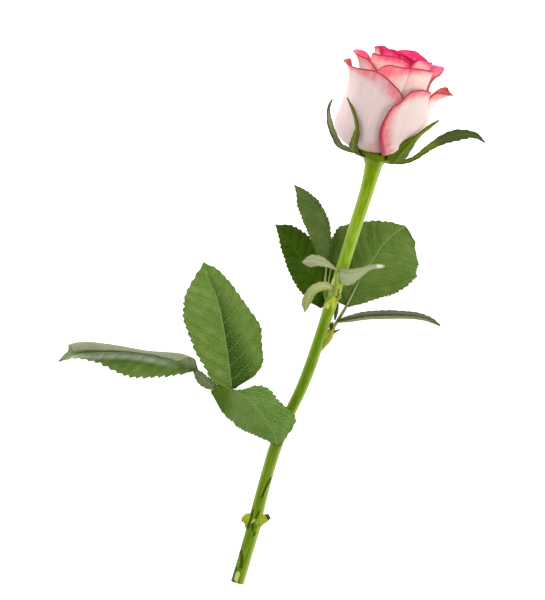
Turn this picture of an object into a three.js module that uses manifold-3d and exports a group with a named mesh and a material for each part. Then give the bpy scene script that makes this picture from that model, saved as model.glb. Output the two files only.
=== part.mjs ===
// A cut rose lying on a table: one green stem, a calyx with five sepals, leaves with saw-toothed leaflets,
// and a half-open bloom of white petals with pink edges.
// Millimetres, +Z up. The stem runs along +Y from its cut end to the bloom, and the table is the plane z = 0.
import * as THREE from "three";
import { mergeVertices } from "three/addons/utils/BufferGeometryUtils.js";
import Module from "manifold-3d";

const wasm = await Module();
wasm.setup();

// ---------------------------------------------------------------- driving dimensions

const GAP = 0.35; // between pieces that grow against each other
const LEAF_THICKNESS = 0.8;
const SEPAL_THICKNESS = 0.8;
const PETAL_THICKNESS = 0.75;
const STEM_SIDES = 14;
const STALK_SIDES = 6;
const CUT_END_HEIGHT = 2.45; // stem axis above the table at the cut end
const STEM_RISE = 0.0762; // the stem climbs this much for each millimetre along
const BLOOM_BASE = new THREE.Vector3(0.4, 201, 17.8); // where the petals meet the calyx
const BLOOM_AXIS = new THREE.Vector3(-0.012, 0.995, 0.1).normalize();
const DEGREE = Math.PI / 180;

// Centre line of the stem: place across, place along, radius.
const STEM = [
  [-0.6, 0, 2.6], [-0.8, 14, 2.8], [-1.1, 26, 2.95], [-1.7, 34, 2.7], [-2.4, 48, 2.5], [-2.6, 62, 2.55],
  [-2.0, 71, 2.45], [-1.0, 81, 2.2], [0.4, 91, 2.3], [1.2, 102, 2.35], [1.6, 114, 2.35], [1.7, 126, 2.4],
  [1.8, 136, 2.75], [1.8, 146, 2.5], [1.8, 160, 2.55], [1.8, 174, 2.75], [1.8, 184, 2.9], [1.5, 192, 3.2],
  [0.9, 198, 3.9],
];

const stemHeight = (along) => CUT_END_HEIGHT + STEM_RISE * along;

// ---------------------------------------------------------------- colours

const finish = (color, roughness) => new THREE.MeshStandardMaterial({ color, roughness, metalness: 0 });
const STEM_GREEN = finish("#7d9a2c", 0.5);
const LEAF_GREEN = finish("#4a7031", 0.45);
const SHOOT_GREEN = finish("#9ba777", 0.6);
const CALYX_GREEN = finish("#6f8a2c", 0.55);
const OUTER_PETAL = finish("#eadad6", 0.6);
const MIDDLE_PETAL = finish("#f0b9b6", 0.6);
const HEART_PINK = finish("#e8447a", 0.6);

// ---------------------------------------------------------------- solids from geometry

// A manifold solid from a closed geometry, turned right side out.
function solidOf(geometry) {
  const bare = geometry.clone();
  bare.deleteAttribute("normal");
  bare.deleteAttribute("uv");
  const merged = mergeVertices(bare, 1e-4);
  const triVerts = new Uint32Array(merged.index.array);
  const vertProperties = new Float32Array(merged.attributes.position.array);
  const build = () => new wasm.Manifold(new wasm.Mesh({ numProp: 3, vertProperties, triVerts }));
  const first = build();
  if (first.volume() > 0) return first;
  for (let i = 0; i < triVerts.length; i += 3) {
    [triVerts[i + 1], triVerts[i + 2]] = [triVerts[i + 2], triVerts[i + 1]];
  }
  return build();
}

const fuse = (solids) => solids.reduce((whole, next) => whole.add(next));

// The table, as a block that flattens whatever would sink into it.
const table = solidOf(new THREE.BoxGeometry(600, 900, 50).translate(0, 100, -25));

// Only the largest body is kept: a cut can shave off a crumb.
function largestBody(solid) {
  return solid.decompose().reduce((best, body) => (body.volume() > best.volume() ? body : best));
}

function meshOf(name, solid, material) {
  const data = largestBody(solid.subtract(table)).getMesh();
  const geometry = new THREE.BufferGeometry();
  geometry.setAttribute("position", new THREE.BufferAttribute(new Float32Array(data.vertProperties), 3));
  geometry.setIndex(new THREE.BufferAttribute(new Uint32Array(data.triVerts), 1));
  geometry.computeVertexNormals();
  const mesh = new THREE.Mesh(geometry, material);
  mesh.name = name;
  return mesh;
}

// A closed geometry from vertex rows and quads split in two.
function geometryOf(vertices, faces) {
  const geometry = new THREE.BufferGeometry();
  geometry.setAttribute("position", new THREE.Float32BufferAttribute(vertices.flatMap((v) => v.toArray()), 3));
  geometry.setIndex(faces);
  return geometry;
}

// A closed blade: rows of points on its middle surface, thickened by half to each side.
// Both faces are split along the same diagonals, so a waved blade never crosses itself.
function bladeGeometry(rows, thickness) {
  const along = rows.length;
  const across = rows[0].length;
  const at = (i, j) => rows[Math.min(Math.max(i, 0), along - 1)][Math.min(Math.max(j, 0), across - 1)];
  const normal = (i, j) => {
    const lengthwise = at(i + 1, j).clone().sub(at(i - 1, j));
    const crosswise = at(i, j + 1).clone().sub(at(i, j - 1));
    return crosswise.cross(lengthwise).normalize();
  };
  const vertices = [];
  for (const side of [0.5, -0.5]) {
    rows.forEach((row, i) => {
      row.forEach((p, j) => vertices.push(p.clone().addScaledVector(normal(i, j), side * thickness)));
    });
  }
  const upper = (i, j) => i * across + j;
  const lower = (i, j) => along * across + i * across + j;
  const faces = [];
  for (let i = 0; i < along - 1; i++) {
    for (let j = 0; j < across - 1; j++) {
      faces.push(upper(i, j), upper(i, j + 1), upper(i + 1, j + 1));
      faces.push(upper(i, j), upper(i + 1, j + 1), upper(i + 1, j));
      faces.push(lower(i, j), lower(i + 1, j + 1), lower(i, j + 1));
      faces.push(lower(i, j), lower(i + 1, j), lower(i + 1, j + 1));
    }
  }
  const edge = [];
  for (let j = 0; j < across - 1; j++) edge.push([0, j]);
  for (let i = 0; i < along - 1; i++) edge.push([i, across - 1]);
  for (let j = across - 1; j > 0; j--) edge.push([along - 1, j]);
  for (let i = along - 1; i > 0; i--) edge.push([i, 0]);
  edge.forEach(([i, j], k) => {
    const [m, n] = edge[(k + 1) % edge.length];
    faces.push(upper(i, j), lower(i, j), lower(m, n));
    faces.push(upper(i, j), lower(m, n), upper(m, n));
  });
  return geometryOf(vertices, faces);
}

// A closed round stalk through points, each with its own radius.
function stalk(points, radii, sides = STALK_SIDES) {
  const frames = new THREE.CatmullRomCurve3(points).computeFrenetFrames(points.length - 1, false);
  const tangent = (i) => {
    const next = points[Math.min(i + 1, points.length - 1)];
    return next.clone().sub(points[Math.max(i - 1, 0)]).normalize();
  };
  const vertices = [];
  points.forEach((p, i) => {
    const along = tangent(i);
    const across = frames.normals[i].clone().addScaledVector(along, -frames.normals[i].dot(along)).normalize();
    const up = along.clone().cross(across);
    for (let k = 0; k < sides; k++) {
      const turn = (2 * Math.PI * k) / sides;
      const spoke = across.clone().multiplyScalar(Math.cos(turn)).addScaledVector(up, Math.sin(turn));
      vertices.push(p.clone().addScaledVector(spoke, radii[i]));
    }
  });
  const faces = [];
  for (let i = 0; i < points.length - 1; i++) {
    for (let k = 0; k < sides; k++) {
      const a = i * sides + k;
      const b = i * sides + ((k + 1) % sides);
      faces.push(a, b, b + sides, a, b + sides, a + sides);
    }
  }
  const last = (points.length - 1) * sides;
  for (let k = 1; k < sides - 1; k++) {
    faces.push(0, k + 1, k);
    faces.push(last, last + k, last + k + 1);
  }
  return solidOf(geometryOf(vertices, faces));
}

const point = ([x, y, z]) => new THREE.Vector3(x, y, z);

// A stalk along a smooth curve through a few points, tapering evenly from one radius to the other.
function smoothStalk(places, thick, thin, steps = 8) {
  const points = new THREE.CatmullRomCurve3(places.map(point)).getPoints(steps);
  return stalk(points, points.map((_, i) => thick + ((thin - thick) * i) / steps));
}

// ---------------------------------------------------------------- leaflets and sepals

// Share of the full half width at a share t of the length, for a blade that is widest at a / (a + b).
function bladeWidth(t, a, b) {
  const widest = a / (a + b);
  return (t / widest) ** a * ((1 - t) / (1 - widest)) ** b;
}

// One saw-toothed blade on a curved midrib. Each half leaves the rib at its own fold angle, rising towards the
// face, and bends on by curl degrees per millimetre. half, fold, curl and shape hold the left side's value and
// then the right side's, seen from above and looking to the tip.
function leaflet({
  rib, face, half, fold = [8, 8], curl = [0, 0], teeth = 10, tooth = 0.7, shape = [[0.5, 0.8], [0.5, 0.8]],
  thickness = LEAF_THICKNESS, columns = [-1, -0.5, 0, 0.5, 1], tip = 0.35,
}) {
  const curve = new THREE.CatmullRomCurve3(rib.map(point));
  const faces = Array.isArray(face[0]) ? face : [face, face];
  const rows = [];
  const last = 2 * teeth;
  for (let i = 0; i <= last; i++) {
    const t = i / last;
    const forward = curve.getTangentAt(t);
    const up = point(faces[0]).lerp(point(faces[1]), t);
    up.addScaledVector(forward, -up.dot(forward)).normalize();
    const sideways = forward.clone().cross(up);
    const point0 = curve.getPointAt(t);
    rows.push(columns.map((share) => {
      const side = share < 0 ? 0 : 1;
      const bend = curl[side] * DEGREE;
      const start = fold[side] * DEGREE;
      const full = half[side] * bladeWidth(Math.min(Math.max(t, 0.015), 0.985), ...shape[side]);
      const notch = Math.abs(share) === 1 && i % 2 === 0 && i > 0 && i < last ? tooth : 0;
      const out = Math.abs(share) * Math.max(full - notch, tip);
      const end = start + bend * out;
      const lateral = bend ? (Math.sin(end) - Math.sin(start)) / bend : out * Math.cos(start);
      const lift = bend ? (Math.cos(start) - Math.cos(end)) / bend : out * Math.sin(start);
      return point0.clone().addScaledVector(sideways, Math.sign(share) * lateral).addScaledVector(up, lift);
    }));
  }
  return solidOf(bladeGeometry(rows, thickness));
}

// ---------------------------------------------------------------- the stem

function stemSolid(extra = 0) {
  const curve = new THREE.CatmullRomCurve3(STEM.map(([x, y]) => new THREE.Vector3(x, y, stemHeight(y))));
  const radius = new THREE.SplineCurve(STEM.map(([, y, r]) => new THREE.Vector2(y, r)));
  const steps = 34;
  const points = curve.getPoints(steps);
  const radii = points.map((_, i) => radius.getPoint(i / steps).y + extra);
  return stalk(points, radii, STEM_SIDES);
}

// What a stripped leaf leaves at its node: two torn stipule stubs joined by a slanted ridge.
function nodeStubs() {
  const z = stemHeight(28);
  const left = smoothStalk([[-3.2, 25.5, z], [-5.2, 28.2, z + 0.3], [-6.1, 29.3, z + 0.6]], 1.5, 0.9, 3);
  const right = smoothStalk([[0.4, 27, z + 1], [2.4, 30, z + 0.8], [4.0, 31.8, z + 0.9]], 1.7, 0.9, 3);
  const ridge = smoothStalk([[-3.2, 26, z + 1.2], [-0.9, 27.5, z + 2.5], [1.2, 29.6, z + 1.9]], 0.7, 0.8, 4);
  return [left, right, ridge];
}

// ---------------------------------------------------------------- the leaves

const UP = [0, 0, 1];

function lowerLeaf() {
  const petiole = smoothStalk([[-3.6, 69.5, 8.1], [-9, 72, 8], [-20, 76.5, 7], [-36.5, 80.3, 6]], 1.3, 0.9, 10);
  const rachis = smoothStalk([[-35.5, 80.2, 6], [-42, 82, 5.6], [-49, 85.5, 5.6]], 0.9, 0.7, 4);
  const terminal = leaflet({
    rib: [[-46.5, 86, 5.7], [-58, 87.4, 6.4], [-72, 86.2, 6.2], [-90, 80.8, 3.4], [-107, 71.6, 0.2]],
    face: [UP, [0, 0.35, 1]], half: [10.9, 12.5], fold: [14, 81], curl: [-0.6, 0], teeth: 13,
    shape: [[0.42, 1.0], [0.45, 0.7]],
  });
  const upper = leaflet({
    rib: [[-29, 82, 6.8], [-37, 99.5, 9.6], [-47, 118, 7.2], [-58.6, 133, 0.2]],
    face: [0.12, 0, 1], half: [16.4, 16.6], fold: [8, 14], curl: [-0.4, -0.8], teeth: 13,
    shape: [[0.6, 0.58], [0.65, 1.15]],
  });
  const upperStalk = smoothStalk([[-36, 80.2, 6], [-32.5, 80.2, 6.4], [-28.7, 82.8, 6.9]], 0.8, 0.7, 3);
  const folded = leaflet({
    rib: [[-32, 81.9, 6.6], [-26, 82, 10], [-19.5, 80.2, 12.8], [-11, 74.4, 14.6], [-5.5, 69.4, 14.2],
      [-1.2, 64, 12.4]],
    face: [-0.1, 0.1, 1], half: [10.7, 15.5], fold: [4, -30], curl: [-0.8, -1], teeth: 10,
    shape: [[0.8, 0.3], [0.4, 0.62]],
  });
  const foldedStalk = smoothStalk([[-37, 80, 6], [-34.5, 81, 6.2], [-31.5, 81.9, 7]], 0.8, 0.8, 2);
  const small = leaflet({
    rib: [[-36.5, 80.8, 6.4], [-42, 82, 8], [-47.6, 85.3, 8]],
    face: [0, -0.3, 1], half: [3.2, 2.6], fold: [-10, 10], teeth: 4, tooth: 0.5, shape: [[0.4, 0.5], [0.4, 0.5]],
    columns: [-1, 0, 1],
  });
  return fuse([petiole, rachis, terminal, upper, upperStalk, folded, foldedStalk, small]);
}

function rightLeaf() {
  const z = stemHeight(118);
  const sheath = stalk(
    [[3.6, 109, z - 0.4], [4.6, 113, z], [5.5, 118, z], [6.0, 121.5, z - 0.2], [6.2, 123.4, z - 0.5]].map(point),
    [0.5, 1.2, 1.7, 1.5, 0.9], 8,
  );
  const rachis = smoothStalk(
    [[6.1, 122, z - 0.3], [7.2, 127, z - 1], [8.8, 132, z - 2.2], [9.3, 137, z - 3.2]], 0.8, 0.7, 6,
  );
  const round = leaflet({
    rib: [[8.9, 134, 8.9], [12, 149, 9], [16.5, 162, 7.2], [21, 170.6, 3.6], [24.3, 175.4, 0.2]],
    face: [0.05, 0, 1], half: [18.6, 22.4], fold: [-6, -2], curl: [0, -0.8], teeth: 13,
    shape: [[0.42, 0.56], [0.42, 0.42]],
  });
  const narrow = leaflet({
    rib: [[7.4, 126.2, 10.6], [12, 129, 9.4], [22, 132.3, 8], [33, 135.8, 6.6], [43, 138.6, 4], [52, 137.9, 0.2]],
    face: [-0.1, 0.3, 1], half: [8.2, 8], fold: [80, 84], curl: [0.4, -0.4], teeth: 10, tooth: 0.5,
    shape: [[0.45, 0.7], [0.45, 0.7]], columns: [-1, 0, 1],
  });
  const stipule = smoothStalk([[5.6, 122.5, z], [5.9, 127, z + 0.4], [5.7, 133.5, z + 0.8]], 0.7, 0.45, 4);
  const bract = smoothStalk([[6.5, 120, z + 0.2], [7.8, 122, z + 0.6], [9.2, 122.8, z + 0.6]], 0.9, 0.4, 3);
  return fuse([sheath, rachis, round, narrow, stipule, bract]);
}

function leftLeaf() {
  const z = stemHeight(134);
  const petiole = smoothStalk([[-0.2, 131, z - 1.2], [-2, 134, z - 1.2], [-5.5, 139, z - 2]], 1.1, 0.8, 4);
  const fork = smoothStalk([[-3.2, 136, z - 1.4], [-3.4, 142, z - 1], [-5, 148, z - 0.8]], 0.8, 0.7, 4);
  const lower = leaflet({
    rib: [[-2.5, 135, z - 1.6], [-12, 143.5, z - 3.2], [-23, 152.5, z - 5.4], [-32.8, 159.3, z - 7.8]],
    face: [0.1, -0.1, 1], half: [9, 10.5], fold: [-18, 12], curl: [-1, 0], teeth: 10,
    shape: [[0.4, 0.6], [0.4, 0.6]],
  });
  const upper = leaflet({
    rib: [[-4.6, 147, z - 0.8], [-8.8, 157.5, z + 1.2], [-17.5, 168.5, z + 1.6], [-30.5, 178.5, z - 2.4]],
    face: [0.5, 0.1, 1], half: [7.4, 8], fold: [30, 12], curl: [0, -1], teeth: 10,
    shape: [[0.5, 0.7], [0.5, 0.7]],
  });
  return fuse([petiole, fork, lower, upper]);
}

function frontShoot() {
  const z = stemHeight(140) + 2.9;
  const axis = smoothStalk([[2.2, 136.5, z - 0.2], [1.6, 141, z + 0.7], [0.8, 146.5, z + 1.3]], 1.2, 0.8, 4);
  const leftArm = leaflet({
    rib: [[0.9, 147, z + 1.6], [-5, 148.4, z + 3.4], [-11, 148.7, z + 3.4], [-16.4, 146, z + 1]],
    face: [0, -0.4, 1], half: [3.2, 2.9], fold: [-12, -10], teeth: 5, tooth: 0.4,
    shape: [[0.4, 0.5], [0.4, 0.5]], columns: [-1, 0, 1],
  });
  const rightArm = leaflet({
    rib: [[0.9, 145, z + 1.4], [7, 147.4, z + 3.6], [13.5, 151.7, z + 3.8], [19.8, 155.7, z + 2.4]],
    face: [0.1, -0.5, 1], half: [3.4, 4.6], fold: [5, 10], teeth: 5, tooth: 0.4,
    shape: [[0.35, 0.8], [0.35, 0.8]], columns: [-1, 0, 1],
  });
  const curled = leaflet({
    rib: [[1.4, 139.6, z + 0.5], [-3.5, 139.6, z + 2.4], [-7.6, 136, z + 3], [-8.8, 130.5, z + 0.8],
      [-8.1, 125, z - 3]],
    face: [-0.3, 0.1, 1], half: [2.2, 2.2], fold: [-10, -10], teeth: 6, tooth: 0.3,
    shape: [[0.35, 0.5], [0.35, 0.5]], columns: [-1, 0, 1],
  });
  return fuse([axis, leftArm, rightArm, curled]);
}

// ---------------------------------------------------------------- the bloom's own frame

// A point at a radius from the bloom's axis, an angle round it and a height above the calyx.
// Angle 0 is the upper side, away from the table, and angles grow towards +X.
const bloomUp = new THREE.Vector3(0, 0, 1).addScaledVector(BLOOM_AXIS, -BLOOM_AXIS.z).normalize();
const bloomRight = BLOOM_AXIS.clone().cross(bloomUp);

function inBloom(radius, angle, height) {
  return BLOOM_BASE.clone()
    .addScaledVector(BLOOM_AXIS, height)
    .addScaledVector(bloomUp, radius * Math.cos(angle * DEGREE))
    .addScaledVector(bloomRight, radius * Math.sin(angle * DEGREE));
}

// Turns a lathed geometry, made round Y, onto the bloom's axis.
function ontoBloomAxis(geometry) {
  const place = new THREE.Matrix4().makeBasis(bloomRight, BLOOM_AXIS, bloomUp.clone().negate());
  return geometry.applyMatrix4(place.setPosition(BLOOM_BASE));
}

function lathed(profile, sides) {
  const outline = profile.map(([r, h]) => new THREE.Vector2(r, h));
  return solidOf(ontoBloomAxis(new THREE.LatheGeometry(outline, sides)));
}

// ---------------------------------------------------------------- the receptacle and the calyx

// The swollen tip of the stem: the hip under the petals and the cone that carries their claws.
const HIP = [
  [0, -3.4], [3.9, -3.4], [4.8, -1.4], [5.5, -0.2], [6, 1], [6.1, 2.2], [5.7, 3.2], [4.7, 5], [3.8, 6.8], [3.3, 8],
  [0, 8],
];
const COLLAR = [[5.2, -0.4], [7.2, 0.1], [8, 1], [7, 1.6], [5.2, 1.3], [5.2, -0.4]];

// Each sepal's midrib as radius, angle and height in the bloom's frame, then its half width.
const SEPALS = [
  { path: [[6, -100, 0.6], [12.2, -100, 0.8], [16.4, -100, 1.6], [20, -100, 3.8], [23, -100, 7.6], [25.2, -100, 11.7],
    [26.4, -100, 15.6], [26, -98, 18.7]], half: 1.9, face: [0.5, -0.2, 1] },
  { path: [[6, -54, 0.6], [9.5, -60, 0.8], [13.8, -47, 3], [19.4, -33, 6.9], [21.8, -30, 11], [22.4, -34, 15],
    [22.4, -43, 18.7], [22.6, -58, 23]], half: 2.4, shape: [0.2, 0.6] },
  { path: [[6, 62, 0.6], [10, 64, 1.2], [14.6, 50, 5.9], [19.2, 43, 10.4], [21.4, 45, 14.5], [22, 52, 17.9],
    [23.6, 60, 21.4], [26.4, 64, 26.3]], half: 4.2, shape: [0.3, 0.85] },
  { path: [[6, 104, 0.6], [9, 104, 0.8], [14.3, 102, 2.2], [18.5, 100, 4.9], [22.6, 100, 9.4], [26.6, 100, 14.4],
    [30.5, 100, 17.6], [36.5, 100, 20.6], [41.8, 100, 21.6], [47, 100, 20.2]], half: 2.7, teeth: 8,
    shape: [1.6, 0.6], face: [-0.3, -0.6, 1] },
  { path: [[6, 176, 0.6], [9, 172, 0.9], [13.4, 160, 3.2], [18, 150, 7], [21, 146, 12], [22, 144, 17], [22.6, 142, 22]],
    half: 2.8 },
];

function sepal({ path, half, teeth = 6, shape = [0.28, 0.8], face }) {
  const rib = path.map(([r, angle, h]) => inBloom(r, angle, h));
  const inward = inBloom(0, 0, 22).sub(rib[rib.length - 1]).normalize();
  return leaflet({
    rib: rib.map((p) => p.toArray()), face: [BLOOM_AXIS.toArray(), face || inward.toArray()],
    half: [half, half], fold: [4, 4], teeth, tooth: 0.3, shape: [shape, shape],
    thickness: SEPAL_THICKNESS, columns: [-1, 0, 1], tip: 0.4,
  });
}

// Five sepals on one collar round the hip.
const calyx = () => fuse([lathed(COLLAR, 20), ...SEPALS.map(sepal)]);

// ---------------------------------------------------------------- the petals

const BOWL_SHARE = 0.4; // the share of a petal's length that curves out from the calyx

// A smooth value across a petal from five equally spaced ones, at a share u from -1 to 1.
const across = (values, u) =>
  new THREE.SplineCurve(values.map((v, i) => new THREE.Vector2(i, v))).getPoint((u + 1) / 2).y;

// The middle surface of a petal, at a share u across from -1 to 1 and a share t along from claw to rim.
// rim and lip hold the height and the outward turn of the edge at five places from the left edge to the right.
// claw is the radius at which the petal starts, foot its width there as a share of the whole, and lean lifts its left edge over its neighbour and tucks its
// right edge under the next one.
// The bloom bulges low on its left side and opens like a funnel on its right side.
function petalPoint({ angle, half, radius, start, claw, height, rim, lip, lean, waist = 0.05, foot = 0.34 }, u, t) {
  const spread = foot + (1 - foot) * Math.sin((Math.PI / 2) * Math.min(t / BOWL_SHARE, 1));
  const width = spread - 0.14 * Math.max(t - 0.5, 0);
  const azimuth = angle + half * width * u;
  const funnel = 0.5 + 0.5 * Math.sin(azimuth * DEGREE);
  const low = start + 0.5 * lean * u;
  const bowlTop = low + 12 + 7 * funnel;
  const power = 2 / (2.6 - 0.85 * funnel);
  const outer = radius - 0.9 * funnel - lean * u;
  const first = Math.asin((claw / outer) ** (1 / power));
  const turn = first + (Math.PI / 2 - first) * Math.min(t / BOWL_SHARE, 1);
  const wall = Math.max((t - BOWL_SHARE) / (1 - BOWL_SHARE), 0);
  const h = low + (bowlTop - low) * (1 - Math.cos(turn) ** power) + (across(rim, u) - bowlTop) * wall;
  const narrowing = 1 - waist * Math.sin((Math.PI / 2) * Math.max((h - bowlTop) / (height - bowlTop), 0));
  return inBloom(outer * Math.sin(turn) ** power * narrowing + across(lip, u) * wall ** 4, azimuth, h);
}

function petal(shape, columns = 7, steps = 8) {
  const rows = [];
  for (let i = 0; i <= steps; i++) {
    const row = [];
    for (let j = 0; j <= columns; j++) row.push(petalPoint(shape, -1 + (2 * j) / columns, i / steps));
    rows.push(row);
  }
  return solidOf(bladeGeometry(rows, PETAL_THICKNESS));
}

// The whorls from the outside in. A left edge lies over the neighbour's right edge all the way round.
const GUARD = { radius: 20.6, start: 3, claw: 6.5, height: 39, lean: 1.1, foot: 0.56 };
const SECOND = { radius: 17.1, start: 5, claw: 5.6, height: 46, waist: 0.06, lean: 1.25 };
const THIRD = { radius: 13.9, start: 7, claw: 4.6, height: 49, waist: 0.08, lean: 1.2 };
const PETALS = {
  petal_guard_right: { ...GUARD, angle: 60, half: 62, rim: [22, 36, 35.6, 37.1, 36], lip: [0, 0.3, 1, 7, 1.5] },
  petal_guard_left: { ...GUARD, angle: -37, half: 72, rim: [39.5, 37, 39.3, 36.8, 28], lip: [4, 3.5, 0.8, 0.2, 0] },
  petal_guard_under: { ...GUARD, angle: 178, half: 72, rim: [24, 36, 38.5, 38, 34], lip: [0, 0.5, 0.8, 0.5, 0] },
  petal_second_front: { ...SECOND, angle: 24, half: 66, rim: [38, 44, 45.4, 45.6, 41], lip: [0, 0, 0.3, 0.8, 0] },
  petal_second_left: { ...SECOND, angle: -84, half: 60, rim: [38, 43.5, 43.5, 42.4, 37], lip: [0.5, 3, 5.5, 1, 0] },
  petal_second_right: { ...SECOND, angle: 118, half: 62, rim: [38, 46.5, 47.5, 46, 38], lip: [0, 1.8, 2, 1, 0] },
  petal_second_under: { ...SECOND, angle: 198, half: 60, rim: [37, 43, 44, 43, 37], lip: [0, 0.5, 1, 0.5, 0] },
  petal_third_front: { ...THIRD, angle: -22, half: 68, rim: [43, 46, 47.8, 47.3, 44], lip: [0, 0.6, 0.3, 0, 0] },
  petal_third_right: { ...THIRD, angle: 74, half: 66, rim: [43, 47.7, 48.3, 48, 43], lip: [0, 0.3, 1.5, 1, 0] },
  petal_third_left: { ...THIRD, angle: -114, half: 62, rim: [43, 48, 48.6, 47.6, 43], lip: [0, 0.6, 1, 0.5, 0] },
  petal_third_under: { ...THIRD, angle: 160, half: 62, rim: [43, 48.5, 50.2, 48.5, 43], lip: [0, 0.6, 0.8, 0.6, 0] },
};

const HEART_PETALS = 9;
const GOLDEN_ANGLE = 137.5;

// The small petals wound round the bud's core, each one a turn further in, with their claws sunk in the core.
function heart() {
  const core = lathed([[0, 8.4], [2.8, 8.4], [4.4, 12.5], [3.4, 26], [2.2, 38], [0.8, 43], [0, 43]], 10);
  const wound = [];
  for (let k = 0; k < HEART_PETALS; k++) {
    const share = k / (HEART_PETALS - 1);
    const top = 49.8 - 3.5 * share;
    const turned = 0.9 - 0.7 * share;
    wound.push(petal({
      angle: -60 + GOLDEN_ANGLE * k, half: 72 + 20 * share, radius: 11.2 - 7.4 * share, start: 9.2 + 3 * share,
      claw: 2, height: 50, lean: 0.45, waist: 0.1, rim: [top - 6, top - 1, top, top - 1, top - 6],
      lip: [0, turned, turned, turned, 0],
    }, 6, 6));
  }
  return fuse([core, ...wound]);
}

// ---------------------------------------------------------------- assembly

// The stem with its receptacle, and the same grown by the gap to keep what grows against it clear.
const stemWithHip = (extra) => fuse([stemSolid(extra), lathed(HIP.map(([r, h]) => [r && r + extra, h]), 16)]);
const clearOfStem = stemWithHip(GAP);

const rose = new THREE.Group();
rose.add(meshOf("stem", fuse([stemWithHip(0), ...nodeStubs()]), STEM_GREEN));
rose.add(meshOf("leaf_lower", lowerLeaf().subtract(clearOfStem), LEAF_GREEN));
rose.add(meshOf("leaf_right", rightLeaf().subtract(clearOfStem), LEAF_GREEN));
rose.add(meshOf("leaf_left", leftLeaf().subtract(clearOfStem), LEAF_GREEN));
rose.add(meshOf("shoot_front", frontShoot().subtract(clearOfStem), SHOOT_GREEN));
rose.add(meshOf("calyx", calyx().subtract(clearOfStem), CALYX_GREEN));
for (const [name, shape] of Object.entries(PETALS)) {
  rose.add(meshOf(name, petal(shape), name.includes("guard") ? OUTER_PETAL : MIDDLE_PETAL));
}
rose.add(meshOf("bloom_heart", heart(), HEART_PINK));

// The part's origin is the middle of its footprint on the table.
const middle = new THREE.Box3().setFromObject(rose).getCenter(new THREE.Vector3());
rose.position.set(-middle.x, -middle.y, 0);

export default rose;
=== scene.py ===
# %% [markdown]
# # A cut rose lying on a pale table
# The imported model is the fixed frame: its solids say where the stem, the leaves and every petal are. Each of
# them is a thick, faceted stand-in, so each is replaced here by a thin, finely modelled piece in the same
# place. A living thing has no straight edge to extrude. Its leaves and petals are still one simple primitive
# each: a flat grid. What gives each its form is how it grew, so the grid's points are carried onto a curved
# surface that a few growth values describe, and the modifiers then make it a real sheet with two skins.

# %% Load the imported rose
import math
import random
import bpy
import bmesh
import numpy as np
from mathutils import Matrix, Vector


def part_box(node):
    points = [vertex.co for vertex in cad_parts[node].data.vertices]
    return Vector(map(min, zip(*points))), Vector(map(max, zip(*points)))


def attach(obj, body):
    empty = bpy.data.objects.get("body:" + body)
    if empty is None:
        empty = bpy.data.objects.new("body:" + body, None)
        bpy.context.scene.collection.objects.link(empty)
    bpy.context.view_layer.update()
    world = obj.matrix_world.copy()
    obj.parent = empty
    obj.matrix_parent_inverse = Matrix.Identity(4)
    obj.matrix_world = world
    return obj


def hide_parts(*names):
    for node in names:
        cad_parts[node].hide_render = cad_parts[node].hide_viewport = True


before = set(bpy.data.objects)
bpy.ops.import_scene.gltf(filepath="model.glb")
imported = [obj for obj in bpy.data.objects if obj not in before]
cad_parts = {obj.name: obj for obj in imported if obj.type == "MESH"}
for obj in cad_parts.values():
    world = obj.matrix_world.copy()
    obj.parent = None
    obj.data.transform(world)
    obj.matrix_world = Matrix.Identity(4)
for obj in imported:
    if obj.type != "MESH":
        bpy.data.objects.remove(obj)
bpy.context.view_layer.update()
print("packed nodes:", sorted(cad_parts))

# %% [markdown]
# ## Growth lines
# Sizes below are in millimetres, in the rose's own drawing: the stem starts at the origin, runs along +Y,
# and the table is z = 0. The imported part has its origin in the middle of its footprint, so one shift and one
# scale take a point from the drawing to the scene. A midrib or a stem is a smooth curve through a few
# places, and its points are found by their share of its length.

# %% From the drawing to the scene
MM = 0.001
MIDDLE = np.array([-27.6, 126.0, 0.0])  # the middle of the footprint, in the drawing


def placed(points):
    return (np.asarray(points, float) - MIDDLE) * MM


def unit(vectors):
    vectors = np.asarray(vectors, float)
    return vectors / np.maximum(np.linalg.norm(vectors, axis=-1, keepdims=True), 1e-12)


def smooth_line(places, shares):
    """Points and directions on a centripetal Catmull-Rom curve, at shares of its length."""
    p = np.asarray(places, float)
    p = np.vstack([2 * p[0] - p[1], p, 2 * p[-1] - p[-2]])
    dense = []
    for a, b, c, d in zip(p, p[1:], p[2:], p[3:]):
        k0, k1, k2 = (max(np.linalg.norm(y - x), 1e-6) ** 0.5 for x, y in ((a, b), (b, c), (c, d)))
        leave = ((b - a) / k0 - (c - a) / (k0 + k1) + (c - b) / k1) * k1
        reach = ((c - b) / k1 - (d - b) / (k1 + k2) + (d - c) / k2) * k1
        w = np.linspace(0, 1, 40, endpoint=False)[:, None]
        dense.append((2 * w**3 - 3 * w**2 + 1) * b + (w**3 - 2 * w**2 + w) * leave
                     + (3 * w**2 - 2 * w**3) * c + (w**3 - w**2) * reach)
    dense = np.vstack(dense + [p[-2:-1]])
    length = np.concatenate([[0], np.cumsum(np.linalg.norm(np.diff(dense, axis=0), axis=1))])
    wanted = np.asarray(shares) * length[-1]
    points = np.stack([np.interp(wanted, length, dense[:, k]) for k in range(3)], axis=-1)
    ways = unit(np.gradient(dense, length, axis=0))
    return (points, unit(np.stack([np.interp(wanted, length, ways[:, k]) for k in range(3)], axis=-1)),
            length[-1])


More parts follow.
